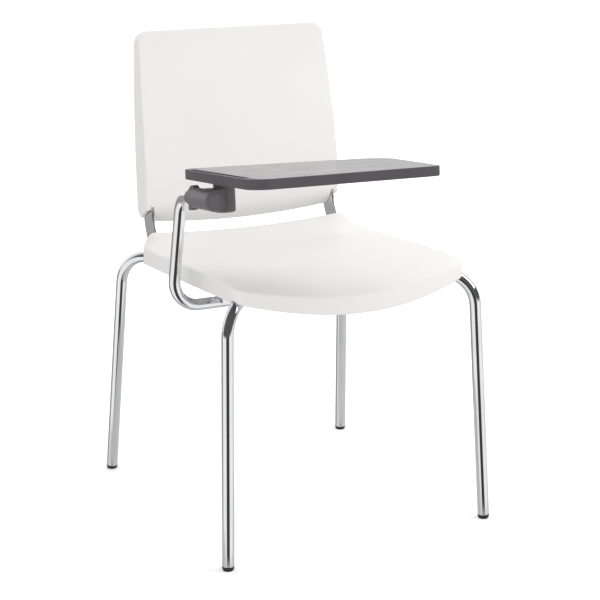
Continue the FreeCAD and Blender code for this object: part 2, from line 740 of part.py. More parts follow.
def arm_collar():
    """A collar over the tube's end; its front wall carries the flip pin and the stop tooth."""
    shoulder, neck = COLLAR_SHOULDER
    body = turned((
        (FLIP_PIN_D / 2, COLLAR_FRONT), (COLLAR_R, COLLAR_FRONT), (COLLAR_R, shoulder), (COLLAR_BODY_R, neck),
        (COLLAR_BODY_R, COLLAR_END), (TUBE_D / 2, COLLAR_END), (TUBE_D / 2, COLLAR_WALL),
        (FLIP_PIN_D / 2, COLLAR_WALL),
    ))
    outline = [V(-COLLAR_RIDGE_HALF, y, z) for y, z in COLLAR_RIDGE]
    outline = [V(-COLLAR_RIDGE_HALF, COLLAR_RIDGE[0][0], 0)] + outline
    outline.append(V(-COLLAR_RIDGE_HALF, COLLAR_RIDGE[-1][0], 0))
    ridge = Part.Face(Part.makePolygon(outline + outline[:1])).extrude(ACROSS * 2 * COLLAR_RIDGE_HALF)
    top_edges = [edge for edge in edges_along(ridge, ACROSS) if edge.CenterOfMass.z > 0]
    ridge = ridge.makeFillet(COLLAR_RIDGE_EDGE_R, top_edges)
    ridge = ridge.cut(rod(TUBE_D, V(0, COLLAR_FRONT + 1, 0), V(0, 2 * COLLAR_END, 0)))
    tooth = ring_sector(*TOOTH_R, COLLAR_FRONT - TOOTH_H, COLLAR_FRONT, -90 - STOP_WIDTH / 2, STOP_WIDTH)
    axis_point = V(0, SET_SCREW_Y, 0)
    boss = rod(SET_BOSS_D, axis_point + UP * SET_BOSS_LOW, axis_point)
    boss = boss.makeFillet(SET_BOSS_EDGE_R, [min(boss.Edges, key=lambda edge: edge.CenterOfMass.z)])
    boss = boss.cut(rod(TUBE_D, V(0, COLLAR_WALL, 0), V(0, 2 * COLLAR_END, 0)))
    screw_hole = rod(SET_SCREW_D, axis_point + UP * 2 * SET_BOSS_LOW, axis_point)
    collar = body.fuse([tooth, boss, ridge]).cut(screw_hole)
    return max(collar.removeSplitter().Solids, key=lambda solid: solid.Volume)


def flip_pin():
    return rod(FLIP_PIN_D, V(0, COLLAR_WALL, 0), V(0, FLIP_PIN_FRONT, 0))


def friction_washer():
    inner = FLIP_PIN_D / 2 + 0.3
    back, front = CHAMBER_FLOOR, CHAMBER_FLOOR - FRICTION_WASHER_T
    return turned(((inner, back), (FRICTION_WASHER_R, back), (FRICTION_WASHER_R, front), (inner, front)))


def spring_washers():
    """A pair of dished washers on the flip pin, between the friction washer and its nut."""
    inner = FLIP_PIN_D / 2
    near, far = SPRING_FIRST_Y, SPRING_FIRST_Y - SPRING_DISH
    first = turned(((inner, far), (inner, far - SPRING_T), (SPRING_R, near - SPRING_T), (SPRING_R, near)))
    near, far = SPRING_SECOND_Y, SPRING_SECOND_Y - SPRING_DISH
    second = turned(((inner, near), (SPRING_R, far), (SPRING_R, far - SPRING_T), (inner, near - SPRING_T)))
    return Part.makeCompound([first, second])


def flip_nut():
    front, back = V(0, FLIP_NUT_Y[0], 0), V(0, FLIP_NUT_Y[1], 0)
    return hexagon(NUT_ACROSS, front, back).cut(rod(FLIP_PIN_D, front, back))


def knuckle_housing():
    """One moulding: the barrel that turns on the flip pin and the hub that holds the swing pin."""
    barrel = rod(2 * BARREL_R, V(0, BARREL_REAR, 0), V(0, BARREL_FRONT, 0))
    hub = rod(2 * HUB_R, V(HUB_X, 0, HUB_LOW), V(HUB_X, 0, HUB_TOP))
    hub = hub.makeFillet(HUB_FOOT_R, [min(hub.Edges, key=lambda edge: edge.CenterOfMass.z)])
    web_y, web_z = HUB_R - WEB_INSET, BARREL_R - WEB_INSET
    web = box(V(0, -web_y, -web_z), V(HUB_X, web_y, web_z))
    body = barrel.fuse([hub, web]).removeSplitter()
    flip_bore = FLIP_PIN_D + 2 * RUNNING_GAP + 2 * BUSH_WALL
    swing_bore = SWING_PIN_D + 2 * RUNNING_GAP + 2 * BUSH_WALL
    flip_room = ring_sector(
        *TOOTH_ROOM_R, TOOTH_ROOM_FLOOR, BARREL_REAR + 1,
        -90 - STOP_WIDTH / 2 - FLIP_RANGE - STOP_ROOM, STOP_WIDTH + FLIP_RANGE + 2 * STOP_ROOM,
    )
    cuts = [
        rod(flip_bore, V(0, BARREL_REAR + 1, 0), V(0, CHAMBER_FLOOR, 0)),
        rod(2 * CHAMBER_R, V(0, CHAMBER_FLOOR, 0), V(0, BARREL_FRONT - 1, 0)),
        rod(swing_bore, V(HUB_X, 0, HUB_TOP + 1), V(HUB_X, 0, HUB_CHAMBER_FLOOR)),
        rod(2 * HUB_CHAMBER_R, V(HUB_X, 0, HUB_CHAMBER_FLOOR), V(HUB_X, 0, HUB_LOW - 1)),
        flip_room,
        swing_stop_room(),
    ]
    for cut in cuts:
        body = body.cut(cut)
    return body


def swing_stop_room():
    """An arc groove in the hub's top face, in which the tablet's stop pin travels."""
    inner, outer = STOP_GROOVE_R
    spare = STOP_ROOM + STOP_PIN_ANGLE
    floor = V(HUB_X, 0, HUB_TOP - STOP_GROOVE_DEPTH)
    ring = Part.makeCylinder(outer, STOP_GROOVE_DEPTH + 1, floor, UP, SWING_RANGE + 2 * spare)
    ring = ring.cut(Part.makeCylinder(inner, STOP_GROOVE_DEPTH + 1, floor))
    ring.rotate(floor, UP, 90 - SWING_RANGE - spare)
    return ring


def swing_stop_pin():
    low, high = V(HUB_X, STOP_PIN_R, HUB_TOP - STOP_PIN_DEPTH), V(HUB_X, STOP_PIN_R, PLATE_LOW)
    return rod(STOP_PIN_D, low, high)


def bush(pin_d, start, end):
    bore = pin_d + 2 * RUNNING_GAP
    return rod(bore + 2 * BUSH_WALL, start, end).cut(rod(bore, start, end))


def barrel_bush():
    return bush(FLIP_PIN_D, V(0, BARREL_REAR - 0.2, 0), V(0, CHAMBER_FLOOR, 0))


def swing_bush():
    return bush(SWING_PIN_D, V(HUB_X, 0, HUB_TOP - 0.2), V(HUB_X, 0, HUB_CHAMBER_FLOOR))


def barrel_end_cap():
    """The round cap that closes the barrel, with a shallow ring moulded in its face."""
    back = BARREL_FRONT + CAP_T - CAP_PROUD
    cap = rod(2 * CHAMBER_R, V(0, back, 0), V(0, BARREL_FRONT - CAP_PROUD, 0))
    cap = cap.makeFillet(0.8, [min(cap.Edges, key=lambda edge: edge.CenterOfMass.y)])
    inner, outer = CAP_RING_R
    front = BARREL_FRONT - CAP_T
    ring = turned(((inner, front), (outer, front), (outer, BARREL_FRONT), (inner, BARREL_FRONT)))
    return cap.cut(ring)


def hub_cap():
    return rod(2 * HUB_CHAMBER_R, V(HUB_X, 0, HUB_LOW), V(HUB_X, 0, HUB_LOW + HUB_CAP_T))


def swing_pin():
    return rod(SWING_PIN_D, V(HUB_X, 0, PLATE_LOW), V(HUB_X, 0, SWING_PIN_LOW))


def swing_washer():
    low, high = (V(HUB_X, 0, z) for z in SWING_WASHER_Z)
    return rod(SWING_WASHER_D, low, high).cut(rod(SWING_PIN_D, low, high))


def swing_nut():
    low, high = (V(HUB_X, 0, z) for z in SWING_NUT_Z)
    return hexagon(NUT_ACROSS, low, high).cut(rod(SWING_PIN_D, low, high))


# Mounting plate and writing tablet, in the mechanism's frame

def plate_screw_places():
    corner = PLATE_SCREW_R / math.sqrt(2)
    return [V(HUB_X + sx * corner, sy * corner, PLATE_LOW) for sx in (-1, 1) for sy in (-1, 1)]


def plate_screw(place):
    head = Part.makeCone(PLATE_SCREW_D * 0.95, PLATE_SCREW_D / 2, 2.2, place, UP)
    return rod(PLATE_SCREW_D, place, place + UP * PLATE_SCREW_L).fuse(head).removeSplitter()


def mounting_plate():
    """A round flange under the tablet, flared from the hub's width."""
    plate = Part.makeCone(PLATE_LOW_R, PLATE_TOP_R, PLATE_T, V(HUB_X, 0, PLATE_LOW), UP)
    for place in plate_screw_places():
        plate = plate.cut(plate_screw(place))
    return plate


def plate_screws():
    return Part.makeCompound([plate_screw(place) for place in plate_screw_places()])


def rounded_plan(corners, radii, low, high):
    """A prism on a polygon with each corner rounded by its own radius."""
    points = [V(x, y, low) for x, y in corners]
    prism = Part.Face(Part.makePolygon(points + points[:1])).extrude(UP * (high - low))
    for point, radius in zip(points, radii):
        near = []
        for edge in prism.Edges:
            ends = [vertex.Point for vertex in edge.Vertexes]
            if len(ends) == 2 and all((end - point).cross(UP).Length < 0.01 for end in ends):
                near.append(edge)
        prism = prism.makeFillet(radius, near)
    return prism


TABLET_LOW = PLATE_LOW + PLATE_T
TABLET_TOP = TABLET_LOW + TABLET_T


def inset_corners(inset, left_inset):
    """The tablet's corners, drawn in from its edges."""
    sides = []
    for index, offset in enumerate((inset, inset, inset, left_inset)):
        start = V(*TABLET_CORNERS[index], 0)
        along = (V(*TABLET_CORNERS[(index + 1) % 4], 0) - start).normalize()
        sides.append((start + along.cross(UP) * offset, along))
    corners = []
    for index, (point, along) in enumerate(sides):
        before_point, before_along = sides[index - 1]
        reach = (point - before_point).cross(along).z / before_along.cross(along).z
        corner = before_point + before_along * reach
        corners.append((corner.x, corner.y))
    return corners


def inlay_prism(low, high):
    return rounded_plan(inset_corners(RIM_W, INLAY_LEFT), INLAY_CORNER_R, low, high)


def tablet_inlay():
    return inlay_prism(TABLET_TOP - INLAY_T, TABLET_TOP)


def pen_groove():
    low, high = TABLET_TOP - GROOVE_DEPTH, TABLET_TOP + 1
    half = GROOVE_W / 2
    front, rear = GROOVE_Y
    slot = box(V(GROOVE_X - half, front, low), V(GROOVE_X + half, rear, high))
    ends = [rod(GROOVE_W, V(GROOVE_X, y, low), V(GROOVE_X, y, high)) for y in GROOVE_Y]
    return slot.fuse(ends)


def tablet_tray():
    """The moulded tray: a rim, a recess for the inlay, a pen groove and a ribbed hollow underside."""
    tray = rounded_plan(TABLET_CORNERS, TABLET_CORNER_R, TABLET_LOW, TABLET_TOP)
    rim_edges = [edge for edge in tray.Edges if edge.BoundBox.ZLength < 0.01]
    tray = tray.makeFillet(TABLET_EDGE_R, rim_edges)
    tray = tray.cut(inlay_prism(TABLET_TOP - INLAY_T, TABLET_TOP + 5)).cut(pen_groove())
    ceiling = TABLET_TOP - TABLET_SKIN
    radii = [radius - TABLET_WALL for radius in TABLET_CORNER_R]
    hollow = rounded_plan(inset_corners(TABLET_WALL, TABLET_WALL), radii, TABLET_LOW - 5, ceiling)
    half = TABLET_PAD_HALF
    hollow = hollow.cut(box(V(HUB_X - half, -half, 0), V(HUB_X + half, half, ceiling)))
    space = hollow.BoundBox
    rib_low = TABLET_LOW + TABLET_RIB_SHORT
    rib_x = HUB_X + TABLET_RIB_STEP
    while rib_x < space.XMax - TABLET_RIB_STEP / 2:
        hollow = hollow.cut(box(V(rib_x, space.YMin, rib_low), V(rib_x + TABLET_RIB_T, space.YMax, ceiling)))
        rib_x += TABLET_RIB_STEP
    rib_y = -TABLET_RIB_STEP
    while rib_y > space.YMin + TABLET_RIB_STEP / 2:
        hollow = hollow.cut(box(V(space.XMin, rib_y, rib_low), V(space.XMax, rib_y + TABLET_RIB_T, ceiling)))
        rib_y -= TABLET_RIB_STEP
    tray = tray.cut(hollow)
    for place in plate_screw_places():
        tray = tray.cut(plate_screw(place))
    return tray


def build():
    """Every piece of the chair by name."""
    pieces = {}
    for name, side in (("left", 1), ("right", -1)):
        pieces["side_frame_" + name] = side_frame(side)
        pieces["back_upright_" + name] = back_upright(side)
        pieces["foot_cap_front_" + name] = foot_cap(FRONT_FOOT, FRONT_LEG_SLOPE, side)
        pieces["foot_cap_rear_" + name] = foot_cap(REAR_FOOT, REAR_LEG_SLOPE, side)
    pieces["front_cross_tube"] = cross_tube(FRONT_CROSS)
    pieces["rear_cross_tube"] = cross_tube(REAR_CROSS)
    pieces["seat_lugs"] = seat_lugs()
    pieces["seat_shell"] = seat_shell()
    pieces["seat_screws"] = seat_screws()
    pieces["backrest_shell"] = backrest_shell()
    pieces["backrest_screws"] = back_screws()
    pieces["arm_tube"] = arm_tube()
    pieces["arm_saddle"] = arm_saddle()
    pieces["arm_bolts"] = arm_bolts()
    pieces["arm_nuts"] = arm_nuts()
    pieces["arm_end_plug"] = arm_end_plug()
    in_mechanism = (
        arm_collar, collar_set_screw, flip_pin, friction_washer, spring_washers, flip_nut, knuckle_housing,
        barrel_bush, swing_bush, barrel_end_cap, hub_cap, swing_pin, swing_washer, swing_nut, swing_stop_pin,
        mounting_plate, plate_screws, tablet_tray, tablet_inlay,
    )
    for maker in in_mechanism:
        pieces[maker.__name__] = in_place(maker())
    return pieces


def main():
    os.makedirs("parts", exist_ok=True)
    for name, shape in build().items():
        placed = shape.translated(V(0, FEET_CENTRE_Y, 0))
        placed.exportStep("parts/" + name + ".step")
        solids = len(placed.Solids)
        print(name, solids, round(placed.Volume), placed.isValid())


main()
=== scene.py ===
import math

import bmesh
import bpy
from mathutils import Matrix, Vector


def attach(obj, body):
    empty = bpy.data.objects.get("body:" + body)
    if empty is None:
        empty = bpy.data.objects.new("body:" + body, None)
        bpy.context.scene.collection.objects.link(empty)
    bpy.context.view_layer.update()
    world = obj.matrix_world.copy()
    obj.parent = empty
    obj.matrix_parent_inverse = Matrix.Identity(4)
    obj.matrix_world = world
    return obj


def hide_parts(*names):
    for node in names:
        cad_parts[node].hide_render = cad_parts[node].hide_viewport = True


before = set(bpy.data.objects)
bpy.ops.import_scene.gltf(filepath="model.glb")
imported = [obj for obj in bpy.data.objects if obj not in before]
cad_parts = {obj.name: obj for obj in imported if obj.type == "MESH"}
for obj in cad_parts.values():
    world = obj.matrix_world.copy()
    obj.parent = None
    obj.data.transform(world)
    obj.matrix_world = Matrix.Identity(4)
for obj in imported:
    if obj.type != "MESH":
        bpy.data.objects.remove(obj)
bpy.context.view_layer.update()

scene = bpy.context.scene
scene.view_settings.view_transform = "Standard"


# Studio
# A plain pale floor under a white surround, large soft lamps, and the camera where the
# photograph was taken from. Bright metal sees a white room with a few dark gaps in it, and of
# the floor only the part under the chair.

def new_node(tree, kind, **settings):
    """Adds a node; names of sockets and of settings are written with underscores for spaces."""
    node = tree.nodes.new(kind)
    for name, value in settings.items():
        if hasattr(node, name):
            setattr(node, name, value)
        else:
            node.inputs[name.replace("_", " ")].default_value = value
    return node


def as_object(bm, name, crease=35.0):
    """Turns a finished bmesh into an object at the origin, smooth but for its real edges."""
    mesh = bpy.data.meshes.new(name)
    bm.to_mesh(mesh)
    bm.free()
    mesh.shade_smooth()
    mesh.set_sharp_from_angle(angle=math.radians(crease))
    piece = bpy.data.objects.new(name, mesh)
    scene.collection.objects.link(piece)
    return piece


FLOOR_HALF_WIDTH = 30.0
PAPER_SHADE = 0.82
MIRRORED_PAPER_SHADE = 0.56
STRIP_MIDDLE_Y = 0.04
STRIP_END = (0.24, 0.34)
STRIP_SIDE = (-0.36, -0.52)

floor_mesh = bmesh.new()
bmesh.ops.create_grid(floor_mesh, x_segments=1, y_segments=1, size=FLOOR_HALF_WIDTH)
floor = as_object(floor_mesh, "studio_floor")

floor_paper = bpy.data.materials.new("floor_paper")
floor_paper.use_nodes = True
tree = floor_paper.node_tree
paper = tree.nodes["Principled BSDF"]
paper.inputs["Roughness"].default_value = 0.9
paper.inputs["Specular IOR Level"].default_value = 0.0

# For the camera the paper is lifted towards white, the more so away from the chair.
where = new_node(tree, "ShaderNodeTexCoord")
reach = new_node(tree, "ShaderNodeVectorMath", operation="LENGTH")
tree.links.new(where.outputs["Object"], reach.inputs[0])
glow = new_node(
    tree, "ShaderNodeMapRange", interpolation_type="SMOOTHSTEP",
    From_Min=0.4, From_Max=2.0, To_Min=0.26, To_Max=0.65,
)
tree.links.new(reach.outputs["Value"], glow.inputs["Value"])
seen = new_node(tree, "ShaderNodeLightPath")
shown = new_node(tree, "ShaderNodeMath", operation="MULTIPLY")
tree.links.new(glow.outputs["Result"], shown.inputs[0])
tree.links.new(seen.outputs["Is Camera Ray"], shown.inputs[1])
paper.inputs["Emission Color"].default_value = (1, 1, 1, 1)
tree.links.new(shown.outputs["Value"], paper.inputs["Emission Strength"])

# In the metal the paper is greyer and fades out past the strip that the chair stands on.
paper_shade = new_node(tree, "ShaderNodeMapRange", To_Min=PAPER_SHADE, To_Max=MIRRORED_PAPER_SHADE)
tree.links.new(seen.outputs["Is Glossy Ray"], paper_shade.inputs["Value"])
tree.links.new(paper_shade.outputs["Result"], paper.inputs["Base Color"])
place = new_node(tree, "ShaderNodeSeparateXYZ")
tree.links.new(where.outputs["Object"], place.inputs["Vector"])
along = new_node(tree, "ShaderNodeMath", operation="SUBTRACT")
along.inputs[1].default_value = STRIP_MIDDLE_Y
tree.links.new(place.outputs["Y"], along.inputs[0])
from_middle = new_node(tree, "ShaderNodeMath", operation="ABSOLUTE")
tree.links.new(along.outputs["Value"], from_middle.inputs[0])
past_ends = new_node(tree, "ShaderNodeMapRange", From_Min=STRIP_END[0], From_Max=STRIP_END[1])
tree.links.new(from_middle.outputs["Value"], past_ends.inputs["Value"])
past_side = new_node(tree, "ShaderNodeMapRange", From_Min=STRIP_SIDE[0], From_Max=STRIP_SIDE[1])
tree.links.new(place.outputs["X"], past_side.inputs["Value"])
past_chair = new_node(tree, "ShaderNodeMath", operation="MAXIMUM")
tree.links.new(past_ends.outputs["Result"], past_chair.inputs[0])
tree.links.new(past_side.outputs["Result"], past_chair.inputs[1])
left_out = new_node(tree, "ShaderNodeMath", operation="MULTIPLY")
tree.links.new(past_chair.outputs["Value"], left_out.inputs[0])
tree.links.new(seen.outputs["Is Glossy Ray"], left_out.inputs[1])
nothing = new_node(tree, "ShaderNodeBsdfTransparent")
unmirrored = new_node(tree, "ShaderNodeMixShader")
tree.links.new(left_out.outputs["Value"], unmirrored.inputs["Fac"])
tree.links.new(paper.outputs["BSDF"], unmirrored.inputs[1])
tree.links.new(nothing.outputs["BSDF"], unmirrored.inputs[2])
tree.links.new(unmirrored.outputs["Shader"], tree.nodes["Material Output"].inputs["Surface"])
floor.data.materials.append(floor_paper)

ROOM_LIGHT = 0.82

# How bright the metal sees the walls, by degrees round from the chair's front.
WALLS = (
    (-180, 0.35), (-124, 0.35), (-112, 1.0), (-52, 1.0), (-44, 0.05), (2, 0.05), (11, 1.0), (74, 1.0),
    (84, 0.7), (118, 0.62), (146, 0.55), (160, 0.45), (180, 0.35),
)
room = bpy.data.worlds.new("white_room")
scene.world = room
room.use_nodes = True
tree = room.node_tree
tree.nodes.clear()
path = new_node(tree, "ShaderNodeLightPath")
towards = new_node(tree, "ShaderNodeTexCoord")
way = new_node(tree, "ShaderNodeSeparateXYZ")
tree.links.new(towards.outputs["Generated"], way.inputs["Vector"])
forward = new_node(tree, "ShaderNodeMath", operation="MULTIPLY")
forward.inputs[1].default_value = -1.0
tree.links.new(way.outputs["Y"], forward.inputs[0])
azimuth = new_node(tree, "ShaderNodeMath", operation="ARCTAN2")
tree.links.new(way.outputs["X"], azimuth.inputs[0])
tree.links.new(forward.outputs["Value"], azimuth.inputs[1])
round_room = new_node(tree, "ShaderNodeMapRange", From_Min=-math.pi, From_Max=math.pi)
tree.links.new(azimuth.outputs["Value"], round_room.inputs["Value"])
walls = new_node(tree, "ShaderNodeValToRGB")
walls.color_ramp.interpolation = "EASE"
stops = walls.color_ramp.elements
stops[0].color = stops[1].color = (WALLS[0][1], WALLS[0][1], WALLS[0][1], 1)
for degrees, shade in WALLS[1:-1]:
    stops.new((degrees + 180) / 360).color = (shade, shade, shade, 1)
tree.links.new(round_room.outputs["Result"], walls.inputs["Fac"])

# Above the horizon the room is dark in front of the chair and white behind it.
height = new_node(
    tree, "ShaderNodeMapRange", interpolation_type="SMOOTHSTEP", From_Min=-0.1, From_Max=0.06,
)
tree.links.new(way.outputs["Z"], height.inputs["Value"])
behind = new_node(
    tree, "ShaderNodeMapRange", interpolation_type="SMOOTHSTEP",
    From_Min=0.2, From_Max=0.7, To_Min=0.1, To_Max=1.0,
)
tree.links.new(way.outputs["Y"], behind.inputs["Value"])
surround = new_node(tree, "ShaderNodeMix", data_type="RGBA")
tree.links.new(height.outputs["Result"], surround.inputs["Factor"])
tree.links.new(walls.outputs["Color"], surround.inputs["A"])
tree.links.new(behind.outputs["Result"], surround.inputs["B"])

# Plain light for the surfaces, the room above for the metal, and white behind the chair.
lighting = new_node(tree, "ShaderNodeBackground", Color=(1, 1, 1, 1), Strength=ROOM_LIGHT)
backdrop = new_node(tree, "ShaderNodeBackground", Color=(1, 1, 1, 1), Strength=1.0)
reflected = new_node(tree, "ShaderNodeBackground", Strength=1.0)
tree.links.new(surround.outputs["Result"], reflected.inputs["Color"])
for_gloss = new_node(tree, "ShaderNodeMixShader")
tree.links.new(path.outputs["Is Glossy Ray"], for_gloss.inputs["Fac"])
tree.links.new(lighting.outputs["Background"], for_gloss.inputs[1])
tree.links.new(reflected.outputs["Background"], for_gloss.inputs[2])
straight = new_node(tree, "ShaderNodeMath", operation="MAXIMUM")
tree.links.new(path.outputs["Is Camera Ray"], straight.inputs[0])
tree.links.new(path.outputs["Is Transmission Ray"], straight.inputs[1])
for_camera = new_node(tree, "ShaderNodeMixShader")
tree.links.new(straight.outputs["Value"], for_camera.inputs["Fac"])
tree.links.new(for_gloss.outputs["Shader"], for_camera.inputs[1])
tree.links.new(backdrop.outputs["Background"], for_camera.inputs[2])
output = new_node(tree, "ShaderNodeOutputWorld")
tree.links.new(for_camera.outputs["Shader"], output.inputs["Surface"])


def face_towards(thing, place, target):
    """Sets up a lamp or the camera at a place, turned to look at a target."""
    thing.location = place
    thing.rotation_euler = (Vector(target) - Vector(place)).to_track_quat("-Z", "Y").to_euler()
    scene.collection.objects.link(thing)


LAMP_TARGET = (0, 0, 0.4)
for lamp_name, place, width, watts in (
    ("key_softbox", (2.45, -1.2, 2.4), 2.0, 43.0),
    ("fill_softbox", (-2.7, -2.0, 1.8), 2.2, 18.0),
    ("top_softbox", (0.4, 1.6, 3.0), 2.2, 22.0),
):
    lamp = bpy.data.lights.new(lamp_name, "AREA")
    lamp.size = width
    lamp.energy = watts
    softbox = bpy.data.objects.new(lamp_name, lamp)
    softbox.visible_glossy = lamp_name != "fill_softbox"
    face_towards(softbox, place, LAMP_TARGET)

CAMERA_PLACE = (-1.3301, -2.5873, 1.1664)
CAMERA_TARGET = (0.0199, 0.05678, 0.36033)

lens = bpy.data.cameras.new("camera")
lens.lens = 103.67
lens.sensor_width = 36.0
camera = bpy.data.objects.new("camera", lens)
face_towards(camera, CAMERA_PLACE, CAMERA_TARGET)
scene.camera = camera


# Side frames
# Two bent steel tubes, 20 mm across with a 2 mm wall, polished and chromed. Each is a front
# leg, a run under the seat and a rear leg, bent on a former from one length.

MM = 0.001
FEET_CENTRE_Y = 56.5
TUBE_D = 20.0
TUBE_WALL = 2.0
FRONT_FOOT = Vector((247.2, -264.7, 0))
FRONT_SLOPE = Vector((-0.0366, 0.0608, 1))
REAR_FOOT = Vector((246.0, 264.7, 0))
REAR_SLOPE = Vector((-0.0453, -0.0944, 1))
FOOT_CAP_H = 6.5
FRONT_BEND_Z = 444.0
REAR_BEND_Z = 426.0
FRONT_TURN = math.radians(34.8)
REAR_TURN = math.radians(58.6)
RUN_X = 171.5
RUN_FRONT_Z = 437.0
RUN_REAR_Z = 424.0
SIDE_BENDS = [radius * MM for radius in (58.0, 30.0, 30.0, 61.0)]
TUBE_SIDES = 56
END_LIP = 1.2 * MM


def in_chair(point):
    """From the drawing's millimetres to the chair's place in metres."""
    return Vector((point[0], point[1] + FEET_CENTRE_Y, point[2])) * MM


def handed(point, side):
    """A point set out for the left side, on the left (1) or the right (-1)."""
    return Vector((point[0] * side, point[1], point[2]))


def push(bm, ring, way):
    """Draws a ring of edges out along a straight line and returns its far end."""
    grown = bmesh.ops.extrude_edge_only(bm, edges=ring)["geom"]
    corners = {part for part in grown if isinstance(part, bmesh.types.BMVert)}
    bmesh.ops.translate(bm, verts=list(corners), vec=way)
    return [
        part for part in grown
        if isinstance(part, bmesh.types.BMEdge) and all(end in corners for end in part.verts)
    ]


def bend_along(bm, ring, corners, radii, steps=22):
    """Draws a ring along straight runs with a bend of the given radius at each inner corner.

    A short lip at each end keeps the rounding of the end's edge off the long runs.
    """
    first_lip = (corners[1] - corners[0]).normalized() * END_LIP
    ring = push(bm, ring, first_lip)
    here = corners[0] + first_lip
    for index, radius in enumerate(radii, start=1):
        before = (corners[index] - corners[index - 1]).normalized()
        after = (corners[index + 1] - corners[index]).normalized()
        turn = before.angle(after)
        start = corners[index] - before * radius * math.tan(turn / 2)
        ring = push(bm, ring, start - here)
        axis = before.cross(after).normalized()
        middle = start + axis.cross(before) * radius
        swung = bmesh.ops.spin(
            bm, geom=ring, cent=middle, axis=axis, angle=turn, steps=steps, use_duplicate=False,
        )
        ring = [part for part in swung["geom_last"] if isinstance(part, bmesh.types.BMEdge)]
        here = corners[index] + after * radius * math.tan(turn / 2)
    last_lip = (corners[-1] - corners[-2]).normalized() * END_LIP
    ring = push(bm, ring, corners[-1] - last_lip - here)
    return push(bm, ring, last_lip)


def bent_rod(corners, radii, diameter, closed):
    """A round bar or an open tube skin along a bent line, in metres."""
    bm = bmesh.new()
    along = (corners[1] - corners[0]).normalized()
    place = Matrix.Translation(corners[0]) @ along.to_track_quat("Z", "Y").to_matrix().to_4x4()
    bmesh.ops.create_circle(bm, cap_ends=closed, segments=TUBE_SIDES, radius=diameter / 2, matrix=place)
    last = bend_along(bm, bm.edges[:], corners, radii)
    if closed:
        bmesh.ops.contextual_create(bm, geom=last)
    bmesh.ops.remove_doubles(bm, verts=bm.verts, dist=1e-6)
    bmesh.ops.recalc_face_normals(bm, faces=bm.faces)
    return bm


def tube(name, corners, radii):
    """An open bent tube with a wall."""
    piece = as_object(bent_rod(corners, radii, TUBE_D * MM, closed=False), name)
    wall = piece.modifiers.new("wall", "SOLIDIFY")
    wall.thickness = TUBE_WALL * MM
    wall.offset = -1.0
    return piece


def side_corners(side):
    """The ends and bends of a side frame, from the front foot to the rear one."""
    front_bend = FRONT_FOOT + FRONT_SLOPE * FRONT_BEND_Z
    rear_bend = REAR_FOOT + REAR_SLOPE * REAR_BEND_Z
    front_y = front_bend.y + (front_bend.x - RUN_X) * math.tan(FRONT_TURN)
    rear_y = rear_bend.y - (rear_bend.x - RUN_X) * math.tan(REAR_TURN)
    corners = (
        FRONT_FOOT + FRONT_SLOPE * FOOT_CAP_H, front_bend, Vector((RUN_X, front_y, RUN_FRONT_Z)),
        Vector((RUN_X, rear_y, RUN_REAR_Z)), rear_bend, REAR_FOOT + REAR_SLOPE * FOOT_CAP_H,
    )
    return [in_chair(handed(corner, side)) for corner in corners]


SMEARS_PER_PATCH = 3.7


def surface_drift():
    """A shared effect: slow changes of colour and gloss over a surface, and its fine grain."""
    group = bpy.data.node_groups.new("surface_drift", "ShaderNodeTree")
    for name, kind in (
        ("Colour", "NodeSocketColor"), ("Drift Colour", "NodeSocketColor"),
        ("Patches per Metre", "NodeSocketFloat"), ("Smooth", "NodeSocketFloat"),
        ("Dull", "NodeSocketFloat"), ("Grains per Metre", "NodeSocketFloat"),
    ):
        group.interface.new_socket(name, in_out="INPUT", socket_type=kind)
    for name, kind in (
        ("Colour", "NodeSocketColor"), ("Roughness", "NodeSocketFloat"), ("Grain", "NodeSocketFloat"),
    ):
        group.interface.new_socket(name, in_out="OUTPUT", socket_type=kind)
    given = new_node(group, "NodeGroupInput")
    made = new_node(group, "NodeGroupOutput")
    place = new_node(group, "ShaderNodeTexCoord")
    patches = new_node(group, "ShaderNodeTexNoise", Detail=3.0)
    group.links.new(place.outputs["Object"], patches.inputs["Vector"])
    group.links.new(given.outputs["Patches per Metre"], patches.inputs["Scale"])
    share = new_node(group, "ShaderNodeMapRange", From_Min=0.32, From_Max=0.68)
    group.links.new(patches.outputs["Fac"], share.inputs["Value"])
    blend = new_node(group, "ShaderNodeMix", data_type="RGBA")
    group.links.new(share.outputs["Result"], blend.inputs["Factor"])
    group.links.new(given.outputs["Colour"], blend.inputs["A"])
    group.links.new(given.outputs["Drift Colour"], blend.inputs["B"])
    group.links.new(blend.outputs["Result"], made.inputs["Colour"])
    finer = new_node(group, "ShaderNodeMath", operation="MULTIPLY")
    finer.inputs[1].default_value = SMEARS_PER_PATCH
    group.links.new(given.outputs["Patches per Metre"], finer.inputs[0])
    smears = new_node(group, "ShaderNodeTexNoise", Detail=4.0, Distortion=0.6)
    group.links.new(place.outputs["Object"], smears.inputs["Vector"])
    group.links.new(finer.outputs["Value"], smears.inputs["Scale"])
    gloss = new_node(group, "ShaderNodeMapRange", From_Min=0.3, From_Max=0.7)
    group.links.new(smears.outputs["Fac"], gloss.inputs["Value"])
    group.links.new(given.outputs["Smooth"], gloss.inputs["To Min"])
    group.links.new(given.outputs["Dull"], gloss.inputs["To Max"])
    group.links.new(gloss.outputs["Result"], made.inputs["Roughness"])
    grain = new_node(group, "ShaderNodeTexNoise", Detail=2.0)
    group.links.new(place.outputs["Object"], grain.inputs["Vector"])
    group.links.new(given.outputs["Grains per Metre"], grain.inputs["Scale"])
    group.links.new(grain.outputs["Fac"], made.inputs["Grain"])
    return group


drift_group = surface_drift()


